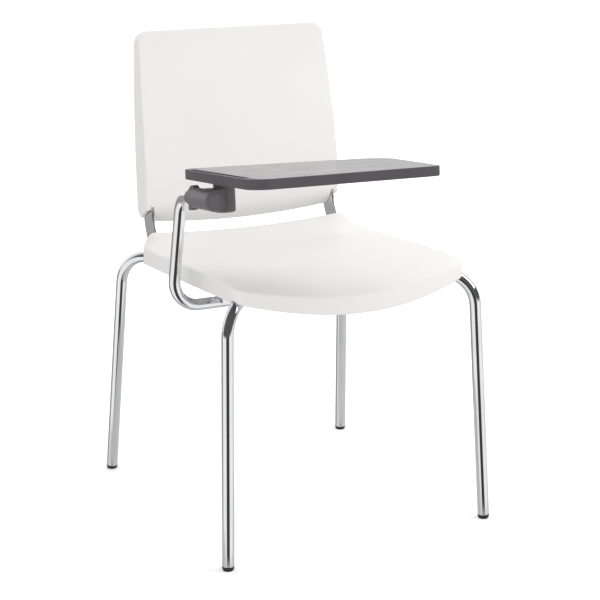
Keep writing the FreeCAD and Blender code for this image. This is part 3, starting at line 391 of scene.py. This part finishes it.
def finish(name, colour, drift, patches, smooth, dull, grains, grain_mm, metallic=0.0, **sockets):
    """A material with drifting colour and gloss and a fine grain of the given depth."""
    material = bpy.data.materials.new(name)
    material.use_nodes = True
    tree = material.node_tree
    shader = tree.nodes["Principled BSDF"]
    drifting = new_node(tree, "ShaderNodeGroup", node_tree=drift_group)
    for socket, value in (
        ("Colour", (*colour, 1)), ("Drift Colour", (*drift, 1)), ("Patches per Metre", patches),
        ("Smooth", smooth), ("Dull", dull), ("Grains per Metre", grains),
    ):
        drifting.inputs[socket].default_value = value
    bump = new_node(tree, "ShaderNodeBump", Strength=1.0, Distance=grain_mm * MM)
    tree.links.new(drifting.outputs["Grain"], bump.inputs["Height"])
    tree.links.new(drifting.outputs["Colour"], shader.inputs["Base Color"])
    tree.links.new(drifting.outputs["Roughness"], shader.inputs["Roughness"])
    tree.links.new(bump.outputs["Normal"], shader.inputs["Normal"])
    shader.inputs["Metallic"].default_value = metallic
    for socket, value in sockets.items():
        shader.inputs[socket.replace("_", " ")].default_value = value
    return material


def fit(piece, body, material, slot, *nodes):
    """Gives a piece its finish and fixes it to the body that carries it, in place of CAD nodes."""
    if not piece.data.materials:
        piece.data.materials.append(material)
    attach(piece, body)
    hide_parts(*nodes)


chrome = finish(
    "chrome_plate", colour=(0.83, 0.83, 0.84), drift=(0.77, 0.775, 0.79), patches=14.0,
    smooth=0.045, dull=0.09, grains=900.0, grain_mm=0.002, metallic=1.0,
)
for side, hand in ((1, "left"), (-1, "right")):
    legs = tube(f"{hand}_leg_tube", side_corners(side), SIDE_BENDS)
    fit(legs, "chair", chrome, "chrome_tube", f"side_frame_{hand}")


# Cross tubes, lugs and saddle
# Smaller tubes and plates welded between the side frames, plated with them. The seat is
# screwed to the lugs and the arm is bolted up to the saddle.

def refinish(material, *nodes):
    """Gives a finish to CAD nodes that are shown as they are."""
    for node in nodes:
        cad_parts[node].material_slots[0].material = material


refinish(chrome, "front_cross_tube", "rear_cross_tube", "seat_lugs", "arm_saddle")


# Foot caps
# Black moulded caps pushed into the leg ends: a plug in the tube, a short collar as wide as
# the tube and a nose that is cut flat where it stands on the floor.

def turned(profile, steps=72):
    """A closed turned shape from (radius, height) points that start and end on the axis."""
    bm = bmesh.new()
    line = [bm.verts.new((radius, 0, height)) for radius, height in profile]
    edges = [bm.edges.new(pair) for pair in zip(line, line[1:])]
    bmesh.ops.spin(
        bm, geom=line + edges, cent=(0, 0, 0), axis=(0, 0, 1), angle=math.tau, steps=steps, use_merge=True,
    )
    bmesh.ops.remove_doubles(bm, verts=bm.verts, dist=1e-7)
    bmesh.ops.recalc_face_normals(bm, faces=bm.faces)
    return bm


black_plastic = finish(
    "black_moulding", colour=(0.013, 0.013, 0.014), drift=(0.02, 0.02, 0.021), patches=25.0,
    smooth=0.36, dull=0.5, grains=1500.0, grain_mm=0.012,
)
CAP_PROFILE = (
    (0, -1.0), (7.8, -1.0), (8.3, -0.5), (9.9, 3.5), (10.1, 4.0), (10.2, 4.6), (10.2, 5.9),
    (10.0, 6.3), (9.7, 6.5), (8.0, 6.5), (8.0, 23.5), (7.4, 24.5), (0, 24.5),
)
for end, foot, slope in (("front", FRONT_FOOT, FRONT_SLOPE), ("rear", REAR_FOOT, REAR_SLOPE)):
    for side, hand in ((1, "left"), (-1, "right")):
        cap = turned([(radius * MM, height * MM) for radius, height in CAP_PROFILE])
        lean = handed(slope, side).normalized().to_track_quat("Z", "Y").to_matrix().to_4x4()
        place = Matrix.Translation(in_chair(handed(foot, side))) @ lean
        bmesh.ops.transform(cap, matrix=place, verts=cap.verts)
        cut = bmesh.ops.bisect_plane(
            cap, geom=cap.verts[:] + cap.edges[:] + cap.faces[:], plane_co=(0, 0, 0), plane_no=(0, 0, 1),
            clear_inner=True,
        )
        rim = [part for part in cut["geom_cut"] if isinstance(part, bmesh.types.BMEdge)]
        bmesh.ops.contextual_create(cap, geom=rim)
        bmesh.ops.recalc_face_normals(cap, faces=cap.faces)
        foot_cap = as_object(cap, f"{end}_{hand}_glide")
        fit(foot_cap, "chair", black_plastic, "black_plastic", f"foot_cap_{end}_{hand}")


# Back uprights
# Flat steel bars, 5 by 40 mm with eased edges, welded to the side frames behind the seat,
# bent once above it and leaned in a little to run up inside the backrest.

BAR_X = 185.4
BAR_THICK = 5.0
BAR_DEPTH = 40.0
BAR_FOOT = (168.0, 427.0)
BAR_KNEE = (203.0, 489.0)
BAR_TOP = (220.5, 645.0)
BAR_BEND = 90.0 * MM
BAR_LEAN = -1.9


def lean_in(bm, side):
    """Turns a piece set out upright to the inward lean of the back."""
    foot = in_chair((side * BAR_X, *BAR_FOOT))
    bmesh.ops.rotate(
        bm, cent=foot, matrix=Matrix.Rotation(math.radians(BAR_LEAN * side), 3, "Y"), verts=bm.verts,
    )


def flat_bar(side, gap=0.0, ease=0.9, below=0.0, backwards=0.0):
    """The bent bar; a gap makes it the room for the bar, which may run on below and backwards."""
    corners = [in_chair((side * BAR_X, *point)) for point in (BAR_FOOT, BAR_KNEE, BAR_TOP)]
    along = (corners[1] - corners[0]).normalized()
    corners[0] = corners[0] - along * below * MM
    corners[2] = corners[2] + (corners[2] - corners[1]).normalized() * gap * MM
    deep = Vector((1, 0, 0)).cross(along)
    bm = bmesh.new()
    turn = Matrix.Rotation(math.radians(45), 4, "Z")
    square = bmesh.ops.create_circle(bm, cap_ends=True, segments=4, radius=math.sqrt(0.5), matrix=turn)
    section = square["verts"]
    width, depth = BAR_THICK + 2 * gap, BAR_DEPTH + 2 * gap + backwards
    bmesh.ops.scale(bm, vec=(width * MM, depth * MM, 1), verts=section)
    bmesh.ops.translate(bm, vec=(0, -backwards / 2 * MM, 0), verts=section)
    bmesh.ops.bevel(
        bm, geom=section, offset=ease * MM, segments=4, profile=0.5, affect="VERTICES", material=-1,
    )
    basis = Matrix((Vector((1, 0, 0)), deep, along)).transposed().to_4x4()
    bmesh.ops.transform(bm, matrix=Matrix.Translation(corners[0]) @ basis, verts=bm.verts)
    last = bend_along(bm, bm.edges[:], corners, (BAR_BEND,))
    bmesh.ops.contextual_create(bm, geom=last)
    bmesh.ops.remove_doubles(bm, verts=bm.verts, dist=1e-6)
    bmesh.ops.recalc_face_normals(bm, faces=bm.faces)
    lean_in(bm, side)
    return bm


satin_chrome = finish(
    "satin_chrome", colour=(0.92, 0.92, 0.93), drift=(0.86, 0.86, 0.875), patches=20.0,
    smooth=0.2, dull=0.28, grains=1200.0, grain_mm=0.004, metallic=1.0,
)
for side, hand in ((1, "left"), (-1, "right")):
    bar = as_object(flat_bar(side), f"{hand}_back_bar", crease=50.0)
    fit(bar, "chair", satin_chrome, "chrome_tube", f"back_upright_{hand}")


# Seat
# One white moulded shell: a dished top with a small radius at its edge, a skirt all round
# that is deepest at the front, and bosses underneath that take the screws from the lugs.

SEAT_MIDDLE = Vector((0, -45.0))
SEAT_HALF_WIDTH = 212.0
SEAT_FRONT_Y = -280.0
SEAT_REAR_Y = 172.0
SEAT_CORNER_Y = 167.0
SEAT_FRONT_CORNER_R = 20.0
SEAT_REAR_CORNER_R = 5.5
SEAT_EDGE_R = 4.0
SEAT_SKIN = 4.0
SEAT_LIP_X = 188.0
SEAT_LIP_Y = 90.0
SEAT_LIP_FALL = 28.0
SKIRT_Z = 425.0
SKIRT_SLOPE = 0.0525
SKIRT_REAR_DIP = 5.0
SKIRT_MORE_DIP = 25.4

# The seat's top, front to rear: (y, height at the sides, height in the middle).
SEAT_LINES = (
    (-315, 457, 436), (-280, 460.5, 441.5), (-237, 463, 445.5), (-170, 464.5, 446.5), (-90, 461, 443.5),
    (0, 456.5, 441), (60, 453.5, 440.5), (100, 450.5, 443), (130, 457, 448.5), (150, 465.5, 455),
    (172, 478, 463.5), (205, 498, 478),
)


def smooth_line(points, at):
    """Height of a smooth line through (place, height) points in rising order."""
    index = 0
    while index < len(points) - 2 and at > points[index + 1][0]:
        index += 1
    (x0, y0), (x1, y1) = points[index], points[index + 1]
    before = points[max(index - 1, 0)]
    after = points[min(index + 2, len(points) - 1)]
    span = x1 - x0
    slope0 = (y1 - before[1]) / (x1 - before[0]) * span
    slope1 = (after[1] - y0) / (after[0] - x0) * span
    s = (at - x0) / span
    return (
        y0 * (2 * s**3 - 3 * s**2 + 1) + slope0 * (s**3 - 2 * s**2 + s)
        + y1 * (3 * s**2 - 2 * s**3) + slope1 * (s**3 - s**2)
    )


def arc_edge(a, b, c):
    """Distance outside the circle through three points of an outline's edge."""
    (ax, ay), (bx, by), (cx, cy) = a, b, c
    d = 2 * (ax * (by - cy) + bx * (cy - ay) + cx * (ay - by))
    ux = ((ax**2 + ay**2) * (by - cy) + (bx**2 + by**2) * (cy - ay) + (cx**2 + cy**2) * (ay - by)) / d
    uy = ((ax**2 + ay**2) * (cx - bx) + (bx**2 + by**2) * (ax - cx) + (cx**2 + cy**2) * (bx - ax)) / d
    radius = math.hypot(ax - ux, ay - uy)
    return lambda x, y: math.hypot(x - ux, y - uy) - radius


def round_corner(a, b, radius):
    """Distance outside two edges that meet in a rounded corner."""
    return min(-radius, max(a, b)) + math.hypot(max(radius + a, 0), max(radius + b, 0))


OUTLINE_REACH = 500.0
OUTLINE_HALVINGS = 42


def outline_point(outside, middle, turn, inset):
    """Where a line from the middle meets an outline drawn in by an inset."""
    way = Vector((math.cos(turn), math.sin(turn)))
    near, far = 0.0, OUTLINE_REACH
    for _ in range(OUTLINE_HALVINGS):
        half = (near + far) / 2
        point = middle + way * half
        if outside(point.x, point.y) + inset < 0:
            near = half
        else:
            far = half
    return middle + way * near


SHELL_SPOKES = 320
SPOKE_CROWDING = 0.65


def pressed_shell(rings, shape):
    """A disc of rings spun from one spoke, each vertex then moved to its place on the moulding.

    The spokes crowd towards the four corners, where the outline turns.
    """
    bm = bmesh.new()
    spoke = [bm.verts.new((index, 0, 0)) for index in range(len(rings))]
    edges = [bm.edges.new(pair) for pair in zip(spoke, spoke[1:])]
    bmesh.ops.spin(
        bm, geom=spoke + edges, cent=(0, 0, 0), axis=(0, 0, 1), angle=math.tau, steps=SHELL_SPOKES,
        use_merge=True,
    )
    for vert in bm.verts:
        ring = rings[round(vert.co.xy.length)]
        step = math.atan2(vert.co.y, vert.co.x)
        vert.co = in_chair(shape(ring, step + SPOKE_CROWDING * math.sin(4 * step) / 4))
    bmesh.ops.remove_doubles(bm, verts=bm.verts, dist=2e-6)
    bmesh.ops.recalc_face_normals(bm, faces=bm.faces)
    return bm


seat_front = arc_edge((-215, -238), (0, SEAT_FRONT_Y), (215, -238))
seat_side = arc_edge((215, -238), (215, -30), (SEAT_HALF_WIDTH, SEAT_CORNER_Y))
seat_rear = arc_edge(
    (SEAT_HALF_WIDTH, SEAT_CORNER_Y), (0, SEAT_REAR_Y), (-SEAT_HALF_WIDTH, SEAT_CORNER_Y),
)


def outside_seat(x, y):
    """Distance outside the seat's outline, seen from above."""
    beside = seat_side(abs(x), y)
    return max(
        round_corner(seat_front(x, y), beside, SEAT_FRONT_CORNER_R),
        round_corner(seat_rear(x, y), beside, SEAT_REAR_CORNER_R),
    )


seat_side_line = [(y, side_z) for y, side_z, _ in SEAT_LINES]
seat_middle_line = [(y, middle_z) for y, _, middle_z in SEAT_LINES]


def seat_top(x, y):
    """Height of the seat's top: a dish with a raised rear lip that falls away at its corners."""
    middle_z = smooth_line(seat_middle_line, y)
    beyond = max(0, abs(x) - SEAT_LIP_X) / (SEAT_HALF_WIDTH - SEAT_LIP_X)
    share = min(1, max(0, (y - SEAT_LIP_Y) / (SEAT_CORNER_Y - SEAT_LIP_Y)))
    dish = (smooth_line(seat_side_line, y) - middle_z) * (x / SEAT_HALF_WIDTH) ** 2
    return middle_z + dish - SEAT_LIP_FALL * share**2 * beyond**2


def skirt_foot(x, y):
    """Height of the skirt's lower edge, which dips in the middle, most of all at the front."""
    dip = SKIRT_REAR_DIP + (SEAT_REAR_Y - y) / (SEAT_REAR_Y - SEAT_FRONT_Y) * SKIRT_MORE_DIP
    return SKIRT_Z - SKIRT_SLOPE * y - dip * (1 - (x / SEAT_HALF_WIDTH) ** 2)


# Each ring of a shell is (part of the moulding, share of the way across that part).
SHELL_RINGS = (
    [("face", step / 16) for step in range(17)]
    + [("edge", step / 6) for step in range(1, 7)]
    + [("skirt", step / 7) for step in range(1, 8)]
    + [("rim", step / 5) for step in range(1, 6)]
    + [("inside", step / 4) for step in range(1, 5)]
    + [("under", 1 - step / 8) for step in range(9)]
)
WALL_SHARE = 0.75
WALL_RISE = 0.94
WALL_TURN_IN = 2.0
UNDER_INSET = 6.0


def inside_wall(share):
    """How far in and how far up the skirt's inside has come: up its wall, then in under the skin."""
    if share < 1:
        return 0.0, share / WALL_SHARE * WALL_RISE
    return WALL_TURN_IN, 1.0


SEAT_RIM = 1.0


def seat_shape(ring, turn):
    """Where the line of the seat's moulding at a turn crosses one of its rings."""
    part, share = ring
    if part == "face":
        rim = outline_point(outside_seat, SEAT_MIDDLE, turn, SEAT_EDGE_R)
        x, y = SEAT_MIDDLE.lerp(rim, share)
        return x, y, seat_top(x, y)
    if part == "edge":
        lean = share * math.pi / 2
        x, y = outline_point(outside_seat, SEAT_MIDDLE, turn, SEAT_EDGE_R * (1 - math.sin(lean)))
        return x, y, seat_top(x, y) - SEAT_EDGE_R * (1 - math.cos(lean))
    if part == "skirt":
        x, y = outline_point(outside_seat, SEAT_MIDDLE, turn, 0)
        high, low = seat_top(x, y) - SEAT_EDGE_R, skirt_foot(x, y) + SEAT_RIM
        return x, y, high + (low - high) * share
    if part == "rim":
        swing = share * math.pi
        x, y = outline_point(outside_seat, SEAT_MIDDLE, turn, SEAT_SKIN / 2 * (1 - math.cos(swing)))
        return x, y, skirt_foot(x, y) + SEAT_RIM * (1 - math.sin(swing))
    if part == "inside":
        inwards, upwards = inside_wall(share)
        x, y = outline_point(outside_seat, SEAT_MIDDLE, turn, SEAT_SKIN + inwards)
        low, high = skirt_foot(x, y) + SEAT_RIM, seat_top(x, y) - SEAT_SKIN
        return x, y, low + (high - low) * upwards
    rim = outline_point(outside_seat, SEAT_MIDDLE, turn, SEAT_SKIN + UNDER_INSET)
    x, y = SEAT_MIDDLE.lerp(rim, share)
    return x, y, seat_top(x, y) - SEAT_SKIN


def unfold(mesh):
    """Takes out the pairs of thin faces lying back to back that a cut can leave along its edge."""
    bm = bmesh.new()
    bm.from_mesh(mesh)
    bmesh.ops.triangulate(bm, faces=[face for face in bm.faces if len(face.verts) > 4])
    sharing = {}
    for face in bm.faces:
        sharing.setdefault(frozenset(face.verts), []).append(face)
    folded = [face for faces in sharing.values() if len(faces) > 1 for face in faces]
    bmesh.ops.delete(bm, geom=folded, context="FACES")
    bm.to_mesh(mesh)
    bm.free()


CUT_CREASE = math.radians(35)


def carve(piece, *tools):
    """Cuts or joins (operation, bmesh) tools into a piece and keeps only the result."""
    blocks = []
    for operation, bm in tools:
        block = as_object(bm, f"{piece.name}_tool")
        cut = piece.modifiers.new("cut", "BOOLEAN")
        cut.operation = operation
        cut.solver = "EXACT"
        cut.object = block
        blocks.append(block)
    whole = piece.evaluated_get(bpy.context.evaluated_depsgraph_get())
    carved = bpy.data.meshes.new_from_object(whole)
    unfold(carved)
    piece.modifiers.clear()
    piece.data = carved
    piece.data.shade_smooth()
    piece.data.set_sharp_from_angle(angle=CUT_CREASE)
    for block in blocks:
        bpy.data.objects.remove(block)


BOSS_X = 147.0
BOSS_R = 7.5 * MM
BOSS_YS = (-105.0, 60.0)


def boss(side, y):
    """A round boss under the seat, standing on a lug."""
    corners = side_corners(1)
    share = (y - (corners[2].y / MM - FEET_CENTRE_Y)) / ((corners[3].y - corners[2].y) / MM)
    foot = RUN_FRONT_Z + share * (RUN_REAR_Z - RUN_FRONT_Z)
    top = seat_top(BOSS_X, y) - SEAT_SKIN / 2
    bm = bmesh.new()
    place = Matrix.Translation(in_chair((side * BOSS_X, y, (foot + top) / 2)))
    bmesh.ops.create_cone(
        bm, cap_ends=True, segments=40, radius1=BOSS_R, radius2=BOSS_R, depth=(top - foot) * MM, matrix=place,
    )
    return bm


white_shell = finish(
    "white_moulding", colour=(0.83, 0.822, 0.815), drift=(0.815, 0.805, 0.797), patches=5.0,
    smooth=0.36, dull=0.46, grains=1100.0, grain_mm=0.015,
)
TUBE_ROOM_D = 22.0 * MM
seat = as_object(pressed_shell(SHELL_RINGS, seat_shape), "moulded_seat")
carve(
    seat,
    *[("DIFFERENCE", flat_bar(side, gap=1.5, ease=1.5, below=15.0)) for side in (1, -1)],
    *[("DIFFERENCE", bent_rod(side_corners(side), SIDE_BENDS, TUBE_ROOM_D, closed=True)) for side in (1, -1)],
    *[("UNION", boss(side, y)) for side in (1, -1) for y in BOSS_YS],
)
fit(seat, "chair", white_shell, "white_shell", "seat_shell")


# Backrest
# The second white moulding: a shallow hollow in front, sides drawn in towards the top, a lower
# edge rolled back, and an open rear with a rib beside each bar that takes its two screws.

BACK_MIDDLE = Vector((0, 655.0))
BACK_HALF_WIDTH = 195.0
BACK_LOW_Z = 482.0
BACK_TOP_Z = 823.3
BACK_CORNER_R = 20.0
BACK_EDGE_R = 2.0
BACK_SKIN = 4.0
BACK_RIM = 0.8
BACK_HOLLOW = 4.0
BOW_FALL = 13.0
BOW_TOP_Z = 580.0
BOW_SPAN = 90.0
REAR_EDGE_Y = 227.0
REAR_EDGE_RUN = 29.5

# The front face at the backrest's sides, upwards: (height, how far back).
BACK_LINE = (
    (470, 217.0), (489, 198.5), (498, 190.5), (508, 185.5), (520, 183.6), (540, 183.8), (570, 185.5),
    (600, 188.8), (650, 197.0), (700, 207.4), (740, 216.2), (800, 229.0), (823.3, 232.5), (850, 236.5),
)
FLANGE_FALL = 0.15
FLANGE_Y = 232.5
back_low = arc_edge((-BACK_HALF_WIDTH, BACK_LOW_Z), (0, 469), (BACK_HALF_WIDTH, BACK_LOW_Z))
back_side = arc_edge((BACK_HALF_WIDTH, BACK_LOW_Z), (192.6, 640), (183.4, BACK_TOP_Z))


def outside_back(x, z):
    """Distance outside the backrest's outline, seen from the front."""
    beside = back_side(abs(x), z)
    return max(
        round_corner(back_low(x, z), beside, BACK_CORNER_R),
        round_corner(z - BACK_TOP_Z, beside, BACK_CORNER_R),
    )


def back_front(x, z):
    """How far back the front face is; its lower part is bowed downwards in the middle."""
    crown = 1 - (x / BACK_HALF_WIDTH) ** 2
    level = z
    for _ in range(6):
        level = z + BOW_FALL * crown * min(max((BOW_TOP_Z - level) / BOW_SPAN, 0), 1)
    return smooth_line(BACK_LINE, level) + BACK_HOLLOW * crown


def back_rear(z):
    """How far back the rear edge is."""
    return REAR_EDGE_Y + (z - BACK_LOW_Z) * REAR_EDGE_RUN / (BACK_TOP_Z - BACK_LOW_Z)


def back_depths(x, z, behind):
    """Where a flange drawn rearwards from (x, z) leaves the front face and meets the rear edge."""
    depths = []
    for surface in (lambda height: back_front(x, height) + behind, back_rear):
        y = FLANGE_Y
        for _ in range(12):
            y = surface(z - FLANGE_FALL * (y - FLANGE_Y))
        depths.append(y)
    return depths


def back_shape(ring, turn):
    """Where the line of the backrest's moulding at a turn crosses one of its rings."""
    part, share = ring
    if part == "face":
        rim = outline_point(outside_back, BACK_MIDDLE, turn, BACK_EDGE_R)
        x, z = BACK_MIDDLE.lerp(rim, share)
        y = back_depths(x, z, 0)[0]
    elif part == "edge":
        lean = share * math.pi / 2
        x, z = outline_point(outside_back, BACK_MIDDLE, turn, BACK_EDGE_R * (1 - math.sin(lean)))
        y = back_depths(x, z, 0)[0] + BACK_EDGE_R * (1 - math.cos(lean))
    elif part == "skirt":
        x, z = outline_point(outside_back, BACK_MIDDLE, turn, 0)
        near, far = back_depths(x, z, BACK_EDGE_R)
        y = near + (far - BACK_RIM - near) * share
    elif part == "rim":
        swing = share * math.pi
        x, z = outline_point(outside_back, BACK_MIDDLE, turn, BACK_SKIN / 2 * (1 - math.cos(swing)))
        y = back_depths(x, z, 0)[1] - BACK_RIM * (1 - math.sin(swing))
    elif part == "inside":
        inwards, forwards = inside_wall(share)
        x, z = outline_point(outside_back, BACK_MIDDLE, turn, BACK_SKIN + inwards)
        near, far = back_depths(x, z, BACK_SKIN)
        near, far = min(near, far - BACK_RIM), far - BACK_RIM
        y = far + (near - far) * forwards
    else:
        rim = outline_point(outside_back, BACK_MIDDLE, turn, BACK_SKIN + UNDER_INSET)
        x, z = BACK_MIDDLE.lerp(rim, share)
        y = back_depths(x, z, BACK_SKIN)[0]
    return x, y, z - FLANGE_FALL * (y - FLANGE_Y)


RIB_X = BAR_X - 7.0
RIB_HALF_THICK = 4.5
RIB_LOW_Z = 530.0
RIB_TOP_Z = BAR_TOP[1]
RIB_SET_IN = 0.6
RIB_BITE = 2.0


def rib(side):
    """A rib inside the backrest, against the bar's inner face."""
    bm = bmesh.new()
    bmesh.ops.create_cube(bm, size=2.0)
    for corner in bm.verts:
        z = RIB_TOP_Z if corner.co.z > 0 else RIB_LOW_Z
        y = back_rear(z) - RIB_SET_IN if corner.co.y > 0 else back_front(RIB_X, z) + RIB_BITE
        corner.co = in_chair((side * (RIB_X + RIB_HALF_THICK * corner.co.x), y, z))
    bmesh.ops.recalc_face_normals(bm, faces=bm.faces)
    lean_in(bm, side)
    return bm


NOTCH = ((177.5, 460.0), (180.0, 504.0), (187.0, 508.5), (220.0, 508.5), (220.0, 460.0))
NOTCH_FRONT_Y = 150.0
NOTCH_LENGTH = 120.0 * MM
NOTCH_TOP = (0, 188.0, 507.5)
NOTCH_FALL = 0.6


def edge_notch(side):
    """A corner cut out of the rolled lower edge, where the bar comes out; its top falls to the rear."""
    bm = bmesh.new()
    front = bm.faces.new([bm.verts.new(in_chair((side * x, NOTCH_FRONT_Y, z))) for x, z in NOTCH])
    grown = bmesh.ops.extrude_face_region(bm, geom=[front])["geom"]
    rear = [part for part in grown if isinstance(part, bmesh.types.BMVert)]
    bmesh.ops.translate(bm, vec=(0, NOTCH_LENGTH, 0), verts=rear)
    cut = bmesh.ops.bisect_plane(
        bm, geom=bm.verts[:] + bm.edges[:] + bm.faces[:], plane_co=in_chair(NOTCH_TOP),
        plane_no=(0, NOTCH_FALL, 1), clear_outer=True,
    )
    rim = [part for part in cut["geom_cut"] if isinstance(part, bmesh.types.BMEdge)]
    bmesh.ops.contextual_create(bm, geom=rim)
    bmesh.ops.recalc_face_normals(bm, faces=bm.faces)
    return bm


back = as_object(pressed_shell(SHELL_RINGS, back_shape), "moulded_backrest")
carve(
    back,
    *[("UNION", rib(side)) for side in (1, -1)],
    *[("DIFFERENCE", flat_bar(side, gap=0.8, ease=0.8, below=8.0, backwards=14.0)) for side in (1, -1)],
    *[("DIFFERENCE", edge_notch(side)) for side in (1, -1)],
)
fit(back, "chair", white_shell, "white_shell", "backrest_shell")


# Screws, bolts and nuts
# Bright zinc plated steel, turned and headed; the seat and backrest screws, the arm's bolts
# and nuts, and the fastenings inside the knuckle.

zinc = finish(
    "zinc_plate", colour=(0.62, 0.63, 0.65), drift=(0.5, 0.51, 0.54), patches=60.0,
    smooth=0.22, dull=0.4, grains=2500.0, grain_mm=0.004, metallic=1.0,
)
refinish(
    zinc, "seat_screws", "backrest_screws", "arm_bolts", "arm_nuts", "collar_set_screw", "flip_pin",
    "spring_washers", "flip_nut", "swing_pin", "swing_washer", "swing_nut", "swing_stop_pin", "plate_screws",
)


# Arm tube
# The same tube as the legs, bolted under the seat, bent up beside it and bent again at the
# top so that its end points forward into the collar. A black plug closes its inner end.

ARM_Y = -77.5
ARM_LOW_Z = 400.0
ARM_INNER_X = -96.0
ARM_OUTER_X = -258.4
ARM_END_BACK = 34.0
ARM_BENDS = (43.0 * MM, 32.0 * MM)
KNUCKLE_PLACE = (
    Matrix.Translation((-238.5, -170.0, 599.6))
    @ Matrix.Rotation(math.radians(-6.2), 4, "X")
    @ Matrix.Rotation(math.radians(1.0), 4, "Y")
)
arm_end = KNUCKLE_PLACE @ Vector((0, ARM_END_BACK, 0))
arm_back = KNUCKLE_PLACE.to_3x3() @ Vector((0, 1, 0))
arm_top = arm_end + arm_back * ((ARM_Y - arm_end.y) / arm_back.y)
arm_corners = ((ARM_INNER_X, ARM_Y, ARM_LOW_Z), (ARM_OUTER_X, ARM_Y, ARM_LOW_Z), arm_top, arm_end)
arm = tube("tablet_arm_tube", [in_chair(corner) for corner in arm_corners], ARM_BENDS)
fit(arm, "chair", chrome, "chrome_tube", "arm_tube")
refinish(black_plastic, "arm_end_plug")


# Collar and knuckle
# Charcoal glass-filled mouldings. The collar is fixed on the arm's end; the knuckle's barrel
# turns on a pin in it, and its hub holds the tablet's own pin.

charcoal = finish(
    "charcoal_moulding", colour=(0.165, 0.145, 0.156), drift=(0.141, 0.124, 0.134), patches=30.0,
    smooth=0.38, dull=0.52, grains=1600.0, grain_mm=0.02,
)
refinish(charcoal, "arm_collar", "knuckle_housing", "barrel_end_cap", "hub_cap")


# Bushes and friction washer
# Pale acetal liners that the two pins turn in, and a washer that the barrel's springs press on.
# They are pushed into the knuckle and hidden inside it.

acetal = finish(
    "acetal", colour=(0.6, 0.58, 0.52), drift=(0.55, 0.53, 0.47), patches=60.0,
    smooth=0.3, dull=0.42, grains=1500.0, grain_mm=0.006,
)
refinish(acetal, "barrel_bush", "swing_bush", "friction_washer")


# Mounting plate
# A round steel flange under the tablet, powder coated black. Four countersunk screws hold it,
# and it carries the pin that the tablet turns on.

powder_coat = finish(
    "black_powder_coat", colour=(0.03, 0.029, 0.031), drift=(0.04, 0.039, 0.041), patches=40.0,
    smooth=0.42, dull=0.56, grains=1300.0, grain_mm=0.03,
)
refinish(powder_coat, "mounting_plate")


# Writing tablet
# A dark grey moulded tray with a pen groove along its outer edge and a ribbed underside, and
# a thin textured writing sheet let into its top.

tray_plastic = finish(
    "tablet_moulding", colour=(0.098, 0.087, 0.096), drift=(0.085, 0.075, 0.083), patches=12.0,
    smooth=0.34, dull=0.44, grains=1400.0, grain_mm=0.012, Specular_IOR_Level=0.25,
)
writing_sheet = finish(
    "writing_sheet", colour=(0.09, 0.082, 0.089), drift=(0.078, 0.072, 0.078), patches=8.0,
    smooth=0.2, dull=0.26, grains=1800.0, grain_mm=0.004, Coat_Weight=0.4, Coat_Roughness=0.2,
)
refinish(tray_plastic, "tablet_tray")
refinish(writing_sheet, "tablet_inlay")
